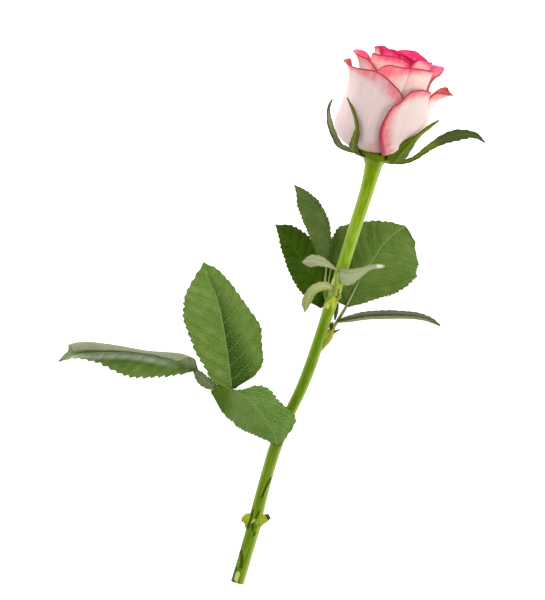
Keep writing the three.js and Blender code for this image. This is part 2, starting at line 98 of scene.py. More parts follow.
def profile(values, shares):
    """A smooth value at shares from 0 to 1 through equally spaced values."""
    v = np.asarray(values, float)
    x = np.clip(np.asarray(shares, float), 0, 1) * (len(v) - 1)
    k = np.minimum(np.floor(x).astype(int), len(v) - 2)
    w = x - k
    a, b, c, d = v[np.maximum(k - 1, 0)], v[k], v[k + 1], v[np.minimum(k + 2, len(v) - 1)]
    leave, reach = (c - a) / 2, (d - b) / 2
    return (2 * b - 2 * c + leave + reach) * w**3 + (3 * c - 3 * b - 2 * leave - reach) * w**2 + leave * w + b


def ramp(x, low, high):
    """0 below low, 1 above high, and a smooth step between."""
    x = np.clip((np.asarray(x, float) - low) / (high - low), 0, 1)
    return x * x * (3 - 2 * x)


print("helpers for growth lines are ready")

# %% [markdown]
# ## A grid becomes a sheet with two skins
# A petal or leaf is a sheet 0.3 to 0.5 mm thick. It could be sculpted, or draped as cloth, but a leaf's form
# comes from its rib and a petal's from its whorl, so the sheet starts as a grid primitive whose points are
# carried to their places. Solidify gives it the second skin and the rim between them. The two skins look
# different on a real plant, so each gets its own material. Measures in millimetres are kept on the mesh for
# the materials: the distance from the margin, along the midrib and across it, and on petals how far in the
# pink runs.

# %% Sheets
SHARP_ANGLE = math.radians(50)  # edges that turn by more than this stay sharp
TABLE_GAP = 0.01  # mm that are kept free above the table


def skin(piece, thickness, materials):
    """Solidifies a grid, then gives its face side, back side and rim their materials."""
    faces = len(piece.data.polygons)
    mesh = piece.data
    before = np.zeros(faces * 3, np.float32)
    mesh.polygons.foreach_get("normal", before)
    bpy.ops.object.select_all(action="DESELECT")
    bpy.context.view_layer.objects.active = piece
    piece.select_set(True)
    thicken = piece.modifiers.new("two skins", "SOLIDIFY")
    thicken.thickness = thickness * MM
    thicken.offset = 0
    bpy.ops.object.modifier_apply(modifier=thicken.name)
    for material in materials:
        mesh.materials.append(material)
    after = np.zeros(len(mesh.polygons) * 3, np.float32)
    mesh.polygons.foreach_get("normal", after)
    same_way = (after.reshape(-1, 3)[:faces] * before.reshape(-1, 3)).sum(1).mean() > 0
    index = np.full(len(mesh.polygons), len(materials) - 1, np.int32)
    index[:faces] = 0 if same_way else 1
    index[faces:2 * faces] = 1 if same_way else 0
    mesh.polygons.foreach_set("material_index", index)
    place = np.zeros(len(mesh.vertices) * 3, np.float32)
    mesh.vertices.foreach_get("co", place)
    place = place.reshape(-1, 3)
    place[:, 2] = np.maximum(place[:, 2], TABLE_GAP * MM)  # nothing sinks into the table
    mesh.vertices.foreach_set("co", place.ravel())
    bpy.ops.object.shade_smooth_by_angle(angle=SHARP_ANGLE)
    return piece


def keep_marks(piece, marks):
    """Keeps measures on a mesh, one number for each point."""
    for mark, values in marks.items():
        kept = piece.data.attributes.new(mark, "FLOAT", "POINT")
        kept.data.foreach_set("value", np.asarray(values, np.float32).ravel())


def sheet(name, points, thickness, marks, materials):
    """Adds a grid, carries its points to points[i, j] (row i along, column j across) and skins it."""
    rows, columns = points.shape[:2]
    bpy.ops.object.select_all(action="DESELECT")
    bpy.ops.mesh.primitive_grid_add(x_subdivisions=columns - 1, y_subdivisions=rows - 1, size=2)
    piece = bpy.context.object
    piece.name = name
    piece.data.name = name
    piece.data.vertices.foreach_set("co", placed(points).astype(np.float32).ravel())
    keep_marks(piece, marks)
    piece.data.update()
    return skin(piece, thickness, materials)


def facing(points):
    """The direction in which each point of a sheet faces."""
    along = np.gradient(points, axis=0)
    across = np.gradient(points, axis=1)
    return unit(np.cross(across, along))


def lengths(points, axis):
    """The distance along a sheet's grid lines from their start, in millimetres."""
    steps = np.linalg.norm(np.diff(points, axis=axis), axis=2)
    start = np.zeros_like(np.take(steps, [0], axis=axis))
    return np.cumsum(np.concatenate([start, steps], axis=axis), axis=axis)


def joined(name, pieces):
    """Several pieces as one mesh."""
    bpy.ops.object.select_all(action="DESELECT")
    for piece in pieces:
        piece.select_set(True)
    bpy.context.view_layer.objects.active = pieces[0]
    if len(pieces) > 1:
        bpy.ops.object.join()
    whole = bpy.context.view_layer.objects.active
    whole.name = name
    whole.data.name = name
    return whole


def settle(piece, node):
    """Puts a finished piece in its CAD node's place."""
    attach(piece, "root")
    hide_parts(node)
    low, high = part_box(node)
    place = np.array([v.co for v in piece.data.vertices])
    apart = max(np.abs(place.min(0) - low).max(), np.abs(place.max(0) - high).max()) * 1000
    print(f"{piece.name}: {len(piece.data.polygons)} faces, its box within {apart:.1f} mm of {node}")


# %% [markdown]
# ## Round stalks
# Stems and leaf stalks are round and taper. A curve with a bevel would do, but the stem also swells at its
# nodes and is scarred, so it is a cylinder primitive whose side edges are subdivided into rings, and each
# ring is carried to its place along the line, with its own radius.

# %% Stalks
ABOVE_TABLE = 0.02  # mm between the table and the lowest point that is placed
FAR_FROM_RIM = 5.0  # mm, for a stalk, which has no margin


def stalk(name, places, radii, material, sides=14, rings=24, relief=None, marks=None, cut=None):
    """A round stalk through places. relief(turn, along) adds millimetres to the radius, marks(points) gives
    more measures to keep on the mesh, and cut is the material of both ends."""
    bpy.ops.object.select_all(action="DESELECT")
    bpy.ops.mesh.primitive_cylinder_add(vertices=sides, radius=1, depth=2, end_fill_type="NGON")
    piece = bpy.context.object
    piece.name = name
    piece.data.name = name
    bpy.ops.object.mode_set(mode="EDIT")
    bpy.ops.mesh.select_all(action="DESELECT")
    bpy.ops.mesh.select_mode(type="EDGE")
    made = bmesh.from_edit_mesh(piece.data)
    for edge in made.edges:
        edge.select_set(abs(edge.verts[0].co.z - edge.verts[1].co.z) > 1)
    bmesh.update_edit_mesh(piece.data)
    bpy.ops.mesh.subdivide(number_cuts=rings - 1)
    bpy.ops.mesh.select_all(action="SELECT")
    bpy.ops.object.mode_set(mode="OBJECT")
    flat = np.array([v.co for v in piece.data.vertices])
    share = (flat[:, 2] + 1) / 2
    turn = np.arctan2(flat[:, 1], flat[:, 0])
    centre, ahead, length = smooth_line(places, share)
    up = np.array([0, 0, 1.0]) - ahead * ahead[:, 2:3]
    level = np.linalg.norm(up, axis=1, keepdims=True) < 0.3
    up = unit(np.where(level, np.cross(ahead, [0, 1.0, 0]), up))
    right = np.cross(ahead, up)
    radius = profile(radii, share)
    if relief:
        radius = radius + relief(turn, share * length)
    spoke = right * np.cos(turn)[:, None] + up * np.sin(turn)[:, None]
    points = centre + spoke * radius[:, None]
    points[:, 2] = np.maximum(points[:, 2], ABOVE_TABLE)
    piece.data.vertices.foreach_set("co", placed(points).astype(np.float32).ravel())
    far = np.full(len(share), FAR_FROM_RIM)
    measures = {"rim_mm": far, "glow_mm": far, "along_mm": share * length, "across_mm": turn * radius}
    keep_marks(piece, {**measures, **(marks(points) if marks else {})})
    piece.data.materials.append(material)
    if cut:
        piece.data.materials.append(cut)
        for face in piece.data.polygons:
            face.material_index = int(len(face.vertices) > 4)
    piece.data.update()
    bpy.ops.object.shade_smooth_by_angle(angle=SHARP_ANGLE)
    return piece


print("sheet and stalk makers are ready")

# %% [markdown]
# ## Materials
# One function turns a colour as a painter names it (sRGB hex) into the linear light that the shader needs,
# and one adds a node. Everything else is written out where it is used.

# %% Colours and nodes
def linear(colour):
    """An sRGB hex colour as linear RGBA."""
    parts = [int(colour[k:k + 2], 16) / 255 for k in (1, 3, 5)]
    return [c / 12.92 if c <= 0.04045 else ((c + 0.055) / 1.055) ** 2.4 for c in parts] + [1]


def add(tree, kind, inputs=None, out=0, **settings):
    """Adds a node, sets it up, feeds its inputs from sockets or values, and returns one output."""
    made = tree.nodes.new(kind)
    for key, value in settings.items():
        setattr(made, key, value)
    for key, value in (inputs or {}).items():
        if isinstance(value, bpy.types.NodeSocket):
            tree.links.new(value, made.inputs[key])
        else:
            made.inputs[key].default_value = value
    return made.outputs[out] if made.outputs else None


def new_material(name):
    material = bpy.data.materials.new(name)
    material.use_nodes = True
    material.node_tree.nodes.clear()
    return material, material.node_tree


print("pale blush in linear light:", [round(c, 3) for c in linear("#ecdcd9")])

# %% [markdown]
# ## Petal skin
# A rose petal is a thin sheet of cells with cone-shaped tops, which scatter light and make it velvety rather
# than shiny. Its colour sits in the cell sap. In this rose the sap is nearly clear over the petal, faintly
# green at the claw, and turns pink and then crimson towards the margin. The colour runs out along the fine
# lengthwise veins, so the fade is disturbed by a noise that is stretched along the petal. Light passes into
# the sheet and out again, which a little subsurface scattering gives.

# %% Petal material
def petal_skin(name, body, blush, edge, fade, line, vein, claw="#dbdc9c", claw_reach=9.0, warm=0.25):
    """body, blush and edge are colours from the middle to the margin, fade and line the widths in mm of the
    pink and of the dark edge; claw is the colour at the base, and warm the share of pink clouds."""
    material, tree = new_material(name)
    rim, glow, along, across = (add(tree, "ShaderNodeAttribute", attribute_name=mark, out="Fac")
                                for mark in ("rim_mm", "glow_mm", "along_mm", "across_mm"))
    # Veins are about 0.9 mm apart, with finer ones between, and about eleven times as long as wide.
    lengthwise = add(tree, "ShaderNodeMath", {0: along, 1: 0.09}, operation="MULTIPLY")
    run = add(tree, "ShaderNodeCombineXYZ", {"X": across, "Y": lengthwise, "Z": fade})
    streaks = add(tree, "ShaderNodeTexNoise", {"Vector": run, "Scale": 1.1, "Detail": 3.0, "Roughness": 0.6},
                  noise_dimensions="3D")
    patch = add(tree, "ShaderNodeCombineXYZ", {"X": across, "Y": along, "Z": line})
    clouds = add(tree, "ShaderNodeTexNoise", {"Vector": patch, "Scale": 0.13, "Detail": 2.0},
                 noise_dimensions="3D")
    # The fade's own distance is moved in and out by the streaks and clouds.
    moved = add(tree, "ShaderNodeMapRange", {"Value": streaks, "From Min": 0.3, "From Max": 0.7,
                                             "To Min": -0.16 * fade, "To Max": 0.16 * fade})
    drift = add(tree, "ShaderNodeMapRange", {"Value": clouds, "From Min": 0.3, "From Max": 0.7,
                                             "To Min": -0.3 * fade, "To Max": 0.3 * fade})
    shifted = add(tree, "ShaderNodeMath", {0: glow, 1: moved}, operation="ADD")
    shifted = add(tree, "ShaderNodeMath", {0: shifted, 1: drift}, operation="ADD")
    pinkness = add(tree, "ShaderNodeMapRange", {"Value": shifted, "From Min": fade, "From Max": 0.0},
                   interpolation_type="SMOOTHERSTEP")
    crimson = add(tree, "ShaderNodeMapRange", {"Value": rim, "From Min": line, "From Max": 0.35 * line},
                  interpolation_type="SMOOTHSTEP")
    green = add(tree, "ShaderNodeMapRange", {"Value": along, "From Min": claw_reach, "From Max": 0.0},
                interpolation_type="SMOOTHSTEP")
    veined = add(tree, "ShaderNodeMapRange", {"Value": streaks, "From Min": 0.42, "From Max": 0.72,
                                              "To Max": 0.55})
    cloudy = add(tree, "ShaderNodeMapRange", {"Value": clouds, "From Min": 0.4, "From Max": 0.7,
                                              "To Max": warm})
    colour = linear(body)
    for share, paint in ((veined, vein), (cloudy, blush), (pinkness, blush), (green, claw), (crimson, edge)):
        colour = add(tree, "ShaderNodeMix", {0: share, 6: colour, 7: linear(paint)}, out=2, data_type="RGBA")
    relief = add(tree, "ShaderNodeBump", {"Height": streaks, "Strength": 0.25, "Distance": 0.0002},
                 out="Normal")
    shader = add(tree, "ShaderNodeBsdfPrincipled", {
        "Base Color": colour, "Roughness": 0.62, "IOR": 1.42, "Specular IOR Level": 0.25,
        "Sheen Weight": 0.12, "Sheen Roughness": 0.5, "Subsurface Weight": 0.25,
        "Subsurface Radius": (1.0, 0.55, 0.5), "Subsurface Scale": 0.0012, "Normal": relief})
    add(tree, "ShaderNodeOutputMaterial", {"Surface": shader})
    return material


# The outer guard skin's darker brown-grey base, reaching 18 mm up, is partly the claw's own colour and partly
# painted shade where the next petal overlaps.
GUARD_SKIN = petal_skin("petal_guard_outer_skin", "#dcc6c3", "#dd7c84", "#9c3146", 3.8, 0.8, "#d2b2b1",
                        claw="#b29a82", claw_reach=18.0, warm=0.06)
GUARD_LINING = petal_skin("petal_guard_inner_skin", "#dfa294", "#c94f4b", "#8a2733", 11.0, 0.9, "#d48478")
CREAM_SKIN = petal_skin("petal_cream_outer_skin", "#e0d0c8", "#e2747c", "#ad3248", 4.0, 0.85, "#d9bfb7",
                        claw="#cf9f8e", claw_reach=8.0, warm=0.15)
MIDDLE_SKIN = petal_skin("petal_middle_outer_skin", "#efd5cb", "#f36e7c", "#ab1f42", 4.6, 0.6, "#eabdb5")
MIDDLE_LINING = petal_skin("petal_middle_inner_skin", "#f6bcbb", "#f65c92", "#a81d4c", 7.0, 0.7, "#f296ab")
THIRD_SKIN = petal_skin("petal_third_outer_skin", "#fdcdba", "#fb4f80", "#b41848", 4.6, 0.6, "#f9b5aa")
THIRD_LINING = petal_skin("petal_third_inner_skin", "#fb92b4", "#f52a74", "#ad1048", 8.0, 0.6, "#f87aa4")
HEART_SKIN = petal_skin("petal_heart_skin", "#fb5f96", "#f21c68", "#8e0b3d", 5.0, 0.55, "#fba0bc", warm=0.3)
print("petal skins:", [m.name for m in bpy.data.materials if m.name.startswith("petal")])

# %% [markdown]
# ## The petals
# The bloom has its own frame: a height along its axis, an angle round it, and a radius. A petal leaves the
# calyx at its claw, bulges out in a bowl, rises in a wall that narrows a little, and turns its lip out. Each
# petal's left edge lies over its neighbour and its right edge is tucked under the next. The rim's height and
# how far the lip turns out are given at even steps from the left edge to the right, and at the free edge the
# last millimetre or two rolls over.

# %% The bloom's own frame
BLOOM_BASE = np.array([0.4, 201.0, 17.8])
BLOOM_AXIS = unit([-0.012, 0.995, 0.1])
BLOOM_UP = unit(np.array([0, 0, 1.0]) - BLOOM_AXIS * BLOOM_AXIS[2])
BLOOM_RIGHT = np.cross(BLOOM_AXIS, BLOOM_UP)
BOWL_SHARE = 0.4  # of a petal's length, from the claw
ROLL_STEPS = 24  # along a rolled margin


def in_bloom(radius, angle, height):
    """Points from a radius, an angle in degrees from the upper side towards +X, and a height."""
    turn = np.radians(angle)[..., None]
    return (BLOOM_BASE + np.asarray(height)[..., None] * BLOOM_AXIS
            + np.asarray(radius)[..., None] * (np.cos(turn) * BLOOM_UP + np.sin(turn) * BLOOM_RIGHT))


def rolled(points, edge, band, turn):
    """Rolls the outermost band (mm) of a sheet's edge outwards through turn (degrees), line by line."""
    lines = {"top": np.swapaxes(points, 0, 1)[:, ::-1], "left": points, "right": points[:, ::-1]}[edge].copy()
    out = {"top": np.swapaxes(facing(points), 0, 1)[:, ::-1], "left": facing(points),
           "right": facing(points)[:, ::-1]}[edge]
    steps = np.linspace(0, 1, ROLL_STEPS + 1)
    for line, normals, reach, angle in zip(lines, out, band, np.radians(turn)):
        if reach < 0.05 or abs(angle) < 0.02:
            continue
        gone = np.concatenate([[0], np.cumsum(np.linalg.norm(np.diff(line, axis=0), axis=1))])
        if gone[-1] < 3 * reach:
            continue
        root = np.array([np.interp(reach, gone, line[:, k]) for k in range(3)])
        before = np.array([np.interp(reach + 0.6, gone, line[:, k]) for k in range(3)])
        normal = np.array([np.interp(reach, gone, normals[:, k]) for k in range(3)])
        ahead = unit(root - before)
        normal = unit(normal - ahead * (normal @ ahead))
        bent = angle * steps**1.4
        flat, high = (np.concatenate([[0], np.cumsum((part[1:] + part[:-1]) / 2)]) / ROLL_STEPS * reach
                      for part in (np.cos(bent), np.sin(bent)))
        rolling = gone < reach
        past = 1 - gone[rolling] / reach
        line[rolling] = (root + np.interp(past, steps, flat)[:, None] * ahead
                         + np.interp(past, steps, high)[:, None] * normal)
    return {"top": np.swapaxes(lines[:, ::-1], 0, 1), "left": lines, "right": lines[:, ::-1]}[edge]


# %% One petal
PETAL_LIFT = 0.2  # mm between the table and the middle of a petal's thickness, at least


def petal(name, shape, skins, columns=60, rows=64, thickness=0.38):
    """shape has the angle and half width in degrees; in mm it has the radius, the claw's radius, where it
    starts, and from left to right the rim's heights and how far the lip turns out. Rolls are in degrees."""
    columns = shape.get("columns", columns)
    p = {"waist": 0.05, "foot": 0.34, "roll": [0], "roll_band": 1.3, "side_roll": [0], "side_band": 1.2,
         "folds": (), "ripple": 0.12, "seed": 0, "glow": (1, 1), "top_glow": [1, 1],
         "edges": (1, 1), **shape}
    even = np.linspace(-1, 1, columns + 1)
    u = 0.6 * even + 0.4 * np.sin(np.pi / 2 * even)  # finer towards both side edges
    even = np.linspace(0, 1, rows + 1)
    t = 0.55 * even + 0.45 * (1 - (1 - even) ** 2)  # finer towards the rim
    u, t = np.meshgrid(u, t)
    rise = np.minimum(t / BOWL_SHARE, 1)
    wall = np.maximum((t - BOWL_SHARE) / (1 - BOWL_SHARE), 0)
    width = p["foot"] + (1 - p["foot"]) * np.sin(np.pi / 2 * rise) - 0.14 * np.maximum(t - 0.5, 0)
    azimuth = p["angle"] + p["half"] * width * u
    funnel = 0.5 + 0.5 * np.sin(np.radians(azimuth))
    low = p["start"] + 0.5 * p["lean"] * u
    bowl_top = low + 12 + 7 * funnel
    power = 2 / (2.6 - 0.85 * funnel)
    outer = p["radius"] - 0.9 * funnel - p["lean"] * u
    first = np.arcsin((p["claw"] / outer) ** (1 / power))
    turn = first + (np.pi / 2 - first) * rise
    rim = profile(p["rim"], (u + 1) / 2)
    height = low + (bowl_top - low) * (1 - np.cos(turn) ** power) + (rim - bowl_top) * wall
    narrow = 1 - p["waist"] * np.sin(
        np.pi / 2 * np.maximum((height - bowl_top) / (p["height"] - bowl_top), 0))
    radius = outer * np.sin(turn) ** power * narrow + profile(p["lip"], (u + 1) / 2) * wall**4.6
    for place, deep, wide, from_share in p["folds"]:  # soft creases that run down from the rim
        radius = radius + deep * np.exp(-(((azimuth - place) / wide) ** 2)) * ramp(t, from_share, 1)
    draw = random.Random(p["seed"])
    for waves in (3.1, 5.3, 8.7, 13.0):
        phase, slant = draw.uniform(0, 6.28), draw.uniform(-2.5, 2.5)
        radius = (radius + p["ripple"] * 2.2 / waves * np.sin(waves * 2 * u + slant * t + phase)
                  * ramp(t, 0.1, 0.9))
    points = in_bloom(radius, azimuth, height)
    from_left = lengths(points, 1)
    from_top = lengths(points, 0)
    from_top = from_top[-1:] - from_top
    from_right = from_left[:, -1:] - from_left
    # The pink reaches further in where its glow is above 1, and the dark line where its edges value is.
    glow = np.minimum(np.minimum(from_left / p["glow"][0], from_right / p["glow"][1]),
                      from_top / profile(p["top_glow"], (u + 1) / 2))
    rims = np.minimum(np.minimum(from_left / p["edges"][0], from_right / p["edges"][1]), from_top)
    marks = {"rim_mm": rims, "glow_mm": glow,
             "along_mm": lengths(points, 0), "across_mm": from_left - from_left[:, columns // 2][:, None]}
    even = np.linspace(0, 1, rows + 1)
    side = profile(p["side_roll"], even) if len(p["side_roll"]) > 1 else np.zeros(rows + 1)
    points = rolled(points, "left", np.full(rows + 1, p["side_band"]) * ramp(even, 0.12, 0.35), side)
    even = np.linspace(0, 1, columns + 1)
    top = profile(p["roll"], even) if len(p["roll"]) > 1 else np.full(columns + 1, float(p["roll"][0]))
    points = rolled(points, "top", np.full(columns + 1, p["roll_band"]), top)
    points[:, :, 2] = np.maximum(points[:, :, 2], PETAL_LIFT)
    return sheet(name, points, thickness, marks, skins)


# %% The whorls, from the outside in
GUARD = {"radius": 20.6, "start": 1.4, "claw": 4.2, "height": 39, "lean": 1.1, "foot": 0.56}
SECOND = {"radius": 17.1, "start": 5, "claw": 5.6, "height": 46, "waist": 0.06, "lean": 1.25}
THIRD = {"radius": 13.9, "start": 7, "claw": 4.6, "height": 49, "waist": 0.08, "lean": 1.2}
PETALS = {
    "petal_guard_right": {
        **GUARD, "angle": 60, "half": 64, "seed": 1, "foot": 0.5, "columns": 100, "edges": (3, 1),
        "glow": (2.2, 1), "top_glow": [1.8, 1.6, 1.4, 1.2, 1.5, 2.3, 2, 1.4],
        "rim": [24, 26.4, 28, 30.8, 33.6, 34.8, 35.6, 36.1, 36.4, 36.4, 36.3, 35.8, 33.2, 35.7, 36.8, 36.9,
                37, 37.1, 37.2, 37.8, 39.3, 39, 38.3, 37.2, 35.8],
        "lip": [0, 0, 0, 0, 0.1, 0.2, 0.3, 0.4, 0.5, 0.5, 0.4, 0.2, 0.2, 0.9, 2.2, 3.4, 4.8, 6.5, 8, 6.3, 5.2,
                4.3, 3.6, 3.2, 3],
        "side_roll": [0, 60, 110, 120, 110, 100], "side_band": 1.7,
        "roll": [90, 60, 30, 20, 30, 40, 10, 10, 20],
        "folds": [(60, -0.9, 3.2, 0.7), (52, 0.4, 5, 0.8)]},
    "petal_guard_left": {
        **GUARD, "angle": -37, "half": 72, "seed": 2, "foot": 0.94, "waist": 0.085, "glow": (1, 4.4),
        "top_glow": [1.3, 1.2, 1.2, 1.6, 2.2, 2.8, 3.4, 3.6],
        "rim": [39.8, 38.8, 37.7, 37, 37.1, 37.7, 38.4, 38.3, 37.2, 35.1, 32.9, 29.2, 24.6],
        "lip": [3.8, 5.8, 5, 3.2, 2.2, 1.8, 1.6, 1.4, 1.2, 1, 0.8, 0.5, 0.3],
        "roll": [100, 110, 60, 30, 25, 30, 40, 50, 45, 40, 30, 10, 0], "roll_band": 1.5,
        "folds": [(-42, -0.5, 9, 0.1), (-12, 0.35, 8, 0.2)]},
    "petal_guard_under": {
        **GUARD, "radius": 20.3, "angle": 180, "half": 64, "seed": 3,
        "rim": [24, 33, 36.4, 38, 38.6, 38, 38.4, 37, 34],
        "lip": [0, 0.3, 0.6, 0.5, 0.9, 0.6, 0.9, 0.5, 0], "roll": [20, 40, 60, 40, 30, 50, 40, 20]},
    "petal_second_front": {
        **SECOND, "angle": 24, "half": 66, "seed": 4, "lean": 1.65, "columns": 84,
        "glow": (2, 0.3), "top_glow": [2.4, 2.4, 2.2, 1.7, 1.1, 0.8, 0.7, 0.7, 0.8, 0.8],
        "rim": [37.9, 41.2, 42.8, 43.1, 43.4, 44, 44.5, 44.8, 44.9, 45, 45.1, 45, 43.4],
        "lip": [0, 0, 0, 0, 0.1, 0.2, 0.3, 0.4, 0.5, 0.8, 1.2, 1.2, 0.6],
        "roll": [10, 30, 40, 30, 40, 35, 30, 25, 20], "roll_band": 1.0,
        "folds": [(9, 0.7, 3.0, 0.3), (15, -0.7, 2.6, 0.35), (24, 0.35, 4, 0.4), (-12, 0.3, 6, 0.3)]},
    "petal_second_left": {
        **SECOND, "angle": -84, "half": 60, "seed": 5,
        "rim": [38, 41, 43.3, 44.3, 44.5, 44.2, 43.5, 42.5, 42.4, 41.6, 39.7, 38, 37],
        "lip": [0.5, 0.8, 1.4, 2.2, 4, 5.8, 6.4, 4.4, 2.6, 1.2, 0.4, 0, 0],
        "roll": [20, 30, 40, 60, 50, 30, 20, 10], "roll_band": 1.2},
    "petal_second_right": {
        **SECOND, "angle": 135, "half": 53, "seed": 6, "glow": (0.4, 1), "columns": 72,
        "rim": [42.6, 43.6, 46.6, 47.9, 47.7, 47.4, 47, 46.4, 45.5, 44.5, 42.5, 40, 38],
        "lip": [2.2, 3.8, 5, 4.6, 3.6, 2.6, 2, 1.6, 1.3, 1, 0.7, 0.3, 0],
        "roll": [10, 50, 70, 60, 40, 30, 20], "roll_band": 1.3, "folds": [(86, -2.8, 26, 0.2)],
        "edges": (0.3, 1)},
    "petal_second_under": {
        **SECOND, "angle": 198, "half": 60, "seed": 7,
        "rim": [37, 41.5, 43.4, 44.2, 43.8, 44.4, 43.4, 41, 37],
        "lip": [0, 0.4, 0.7, 0.5, 1, 0.6, 0.9, 0.4, 0], "roll": [20, 40, 50, 40, 20]},
    "petal_third_front": {
        **THIRD, "angle": -22, "half": 68, "seed": 8,
        "rim": [45, 45.2, 45.3, 45.4, 45.8, 46.3, 46.7, 46.8, 46.6, 46, 45.3, 44.5, 43.8],
        "lip": [0.2, 0.5, 0.6, 0.4, 0.3, 0.3, 0.3, 0.2, 0.1, 0, 0, 0, 0],
        "roll": [60, 50, 30, 30, 35, 30, 20], "roll_band": 0.9},
    "petal_third_right": {
        **THIRD, "angle": 74, "half": 66, "seed": 9, "rim": [44, 48.4, 49, 48.5, 48.2, 48.6, 48.2, 46.5, 43],
        "lip": [0, 0.3, 0.5, 0.7, 0.9, 1, 1, 0.5, 0], "roll": [20, 40, 60, 50, 30], "roll_band": 0.9},
    "petal_third_left": {
        **THIRD, "angle": -114, "half": 62, "seed": 10,
        "rim": [43, 45.8, 47.4, 48.2, 48.4, 48.6, 48.3, 48, 48.2, 47.8, 48.8, 48.2, 45.5],
        "lip": [0, 0.3, 0.6, 0.8, 1, 0.9, 0.8, 0.9, 1.1, 1.3, 0.8, 0.3, 0],
        "roll": [20, 30, 40, 60, 70, 80, 60], "roll_band": 1.1},
    "petal_third_under": {
        **THIRD, "angle": 160, "half": 62, "seed": 11,
        "rim": [43, 47, 48.6, 49.6, 50.6, 50.1, 49.2, 47.4, 43],
        "lip": [0, 0.4, 0.7, 0.6, 1, 0.7, 0.8, 0.3, 0], "roll": [10, 30, 50, 30, 20], "roll_band": 0.9},
}
SKINS = {"petal_guard_right": (CREAM_SKIN, GUARD_LINING), "petal_guard": (GUARD_SKIN, GUARD_LINING),
         "petal_second": (MIDDLE_SKIN, MIDDLE_LINING), "petal_third": (THIRD_SKIN, THIRD_LINING)}
for node, shape in PETALS.items():
    key = next(k for k in SKINS if node.startswith(k))
    made = petal("fine_" + node, shape, SKINS[key])
    settle(made, node)

# %% [markdown]
# ## The heart of the bloom
# The inner petals are wound round each other like a scroll, each a golden angle further on and a little
# further in. They are one CAD node, so they become one mesh: nine petals and the core that carries their
# claws.

# %% The wound heart
HEART_PETALS = 9
GOLDEN_ANGLE = 137.5
wound = [stalk("heart_core", [in_bloom(0.0, 0.0, h) for h in (8.4, 18, 30, 43)], [2.8, 4.2, 3.2, 2.4, 0.8],
               HEART_SKIN, sides=16, rings=12)]
for k in range(HEART_PETALS):
    share = k / (HEART_PETALS - 1)
    top = 49.8 - 3.5 * share
    turned = 0.9 - 0.7 * share
    wound.append(petal(f"heart_petal_{k}", {
        "angle": -60 + GOLDEN_ANGLE * k, "half": 72 + 20 * share, "radius": 11.2 - 7.4 * share,
        "start": 9.2 + 3 * share, "claw": 2, "height": 50, "lean": 0.45, "waist": 0.1, "seed": 20 + k,
        "ripple": 0.1,
        "rim": [top - 6, top - 2.4, top - 0.9, top - 0.4, top, top - 0.5, top - 1, top - 2.6, top - 6],
        "lip": [0, turned, turned * 1.3, turned * 0.7, turned, turned * 1.3, turned * 0.8, 0],
        "roll": [10, 60, 80, 60, 20], "roll_band": 0.9}, (HEART_SKIN, HEART_SKIN), 44, 34, 0.3))
heart = joined("fine_bloom_heart", wound)
settle(heart, "bloom_heart")

# %% [markdown]
# ## Green skins
# A rose leaf's upper skin is dark green under a clear wax, with paler veins sunk into it; below it is a
# paler, greyer green and the veins stand out. The side veins leave the midrib every few millimetres and
# curve towards the tip, alternating left and right, and a net of finer veins fills the space between. The
# pattern is drawn from the measures along and across the midrib, so it follows each leaflet however it
# bends.

# %% Leaf material
VEIN_LEAN = 0.62  # mm along the midrib for each mm out, where a side vein starts
VEIN_CURVE = 0.016  # how fast it turns to the tip
VEIN_STAGGER = 0.22  # how far left and right veins alternate, in shares of their spacing
# The green of the painted shade beside the midrib.
PAINTED_SHADE_GREEN = "#284804"


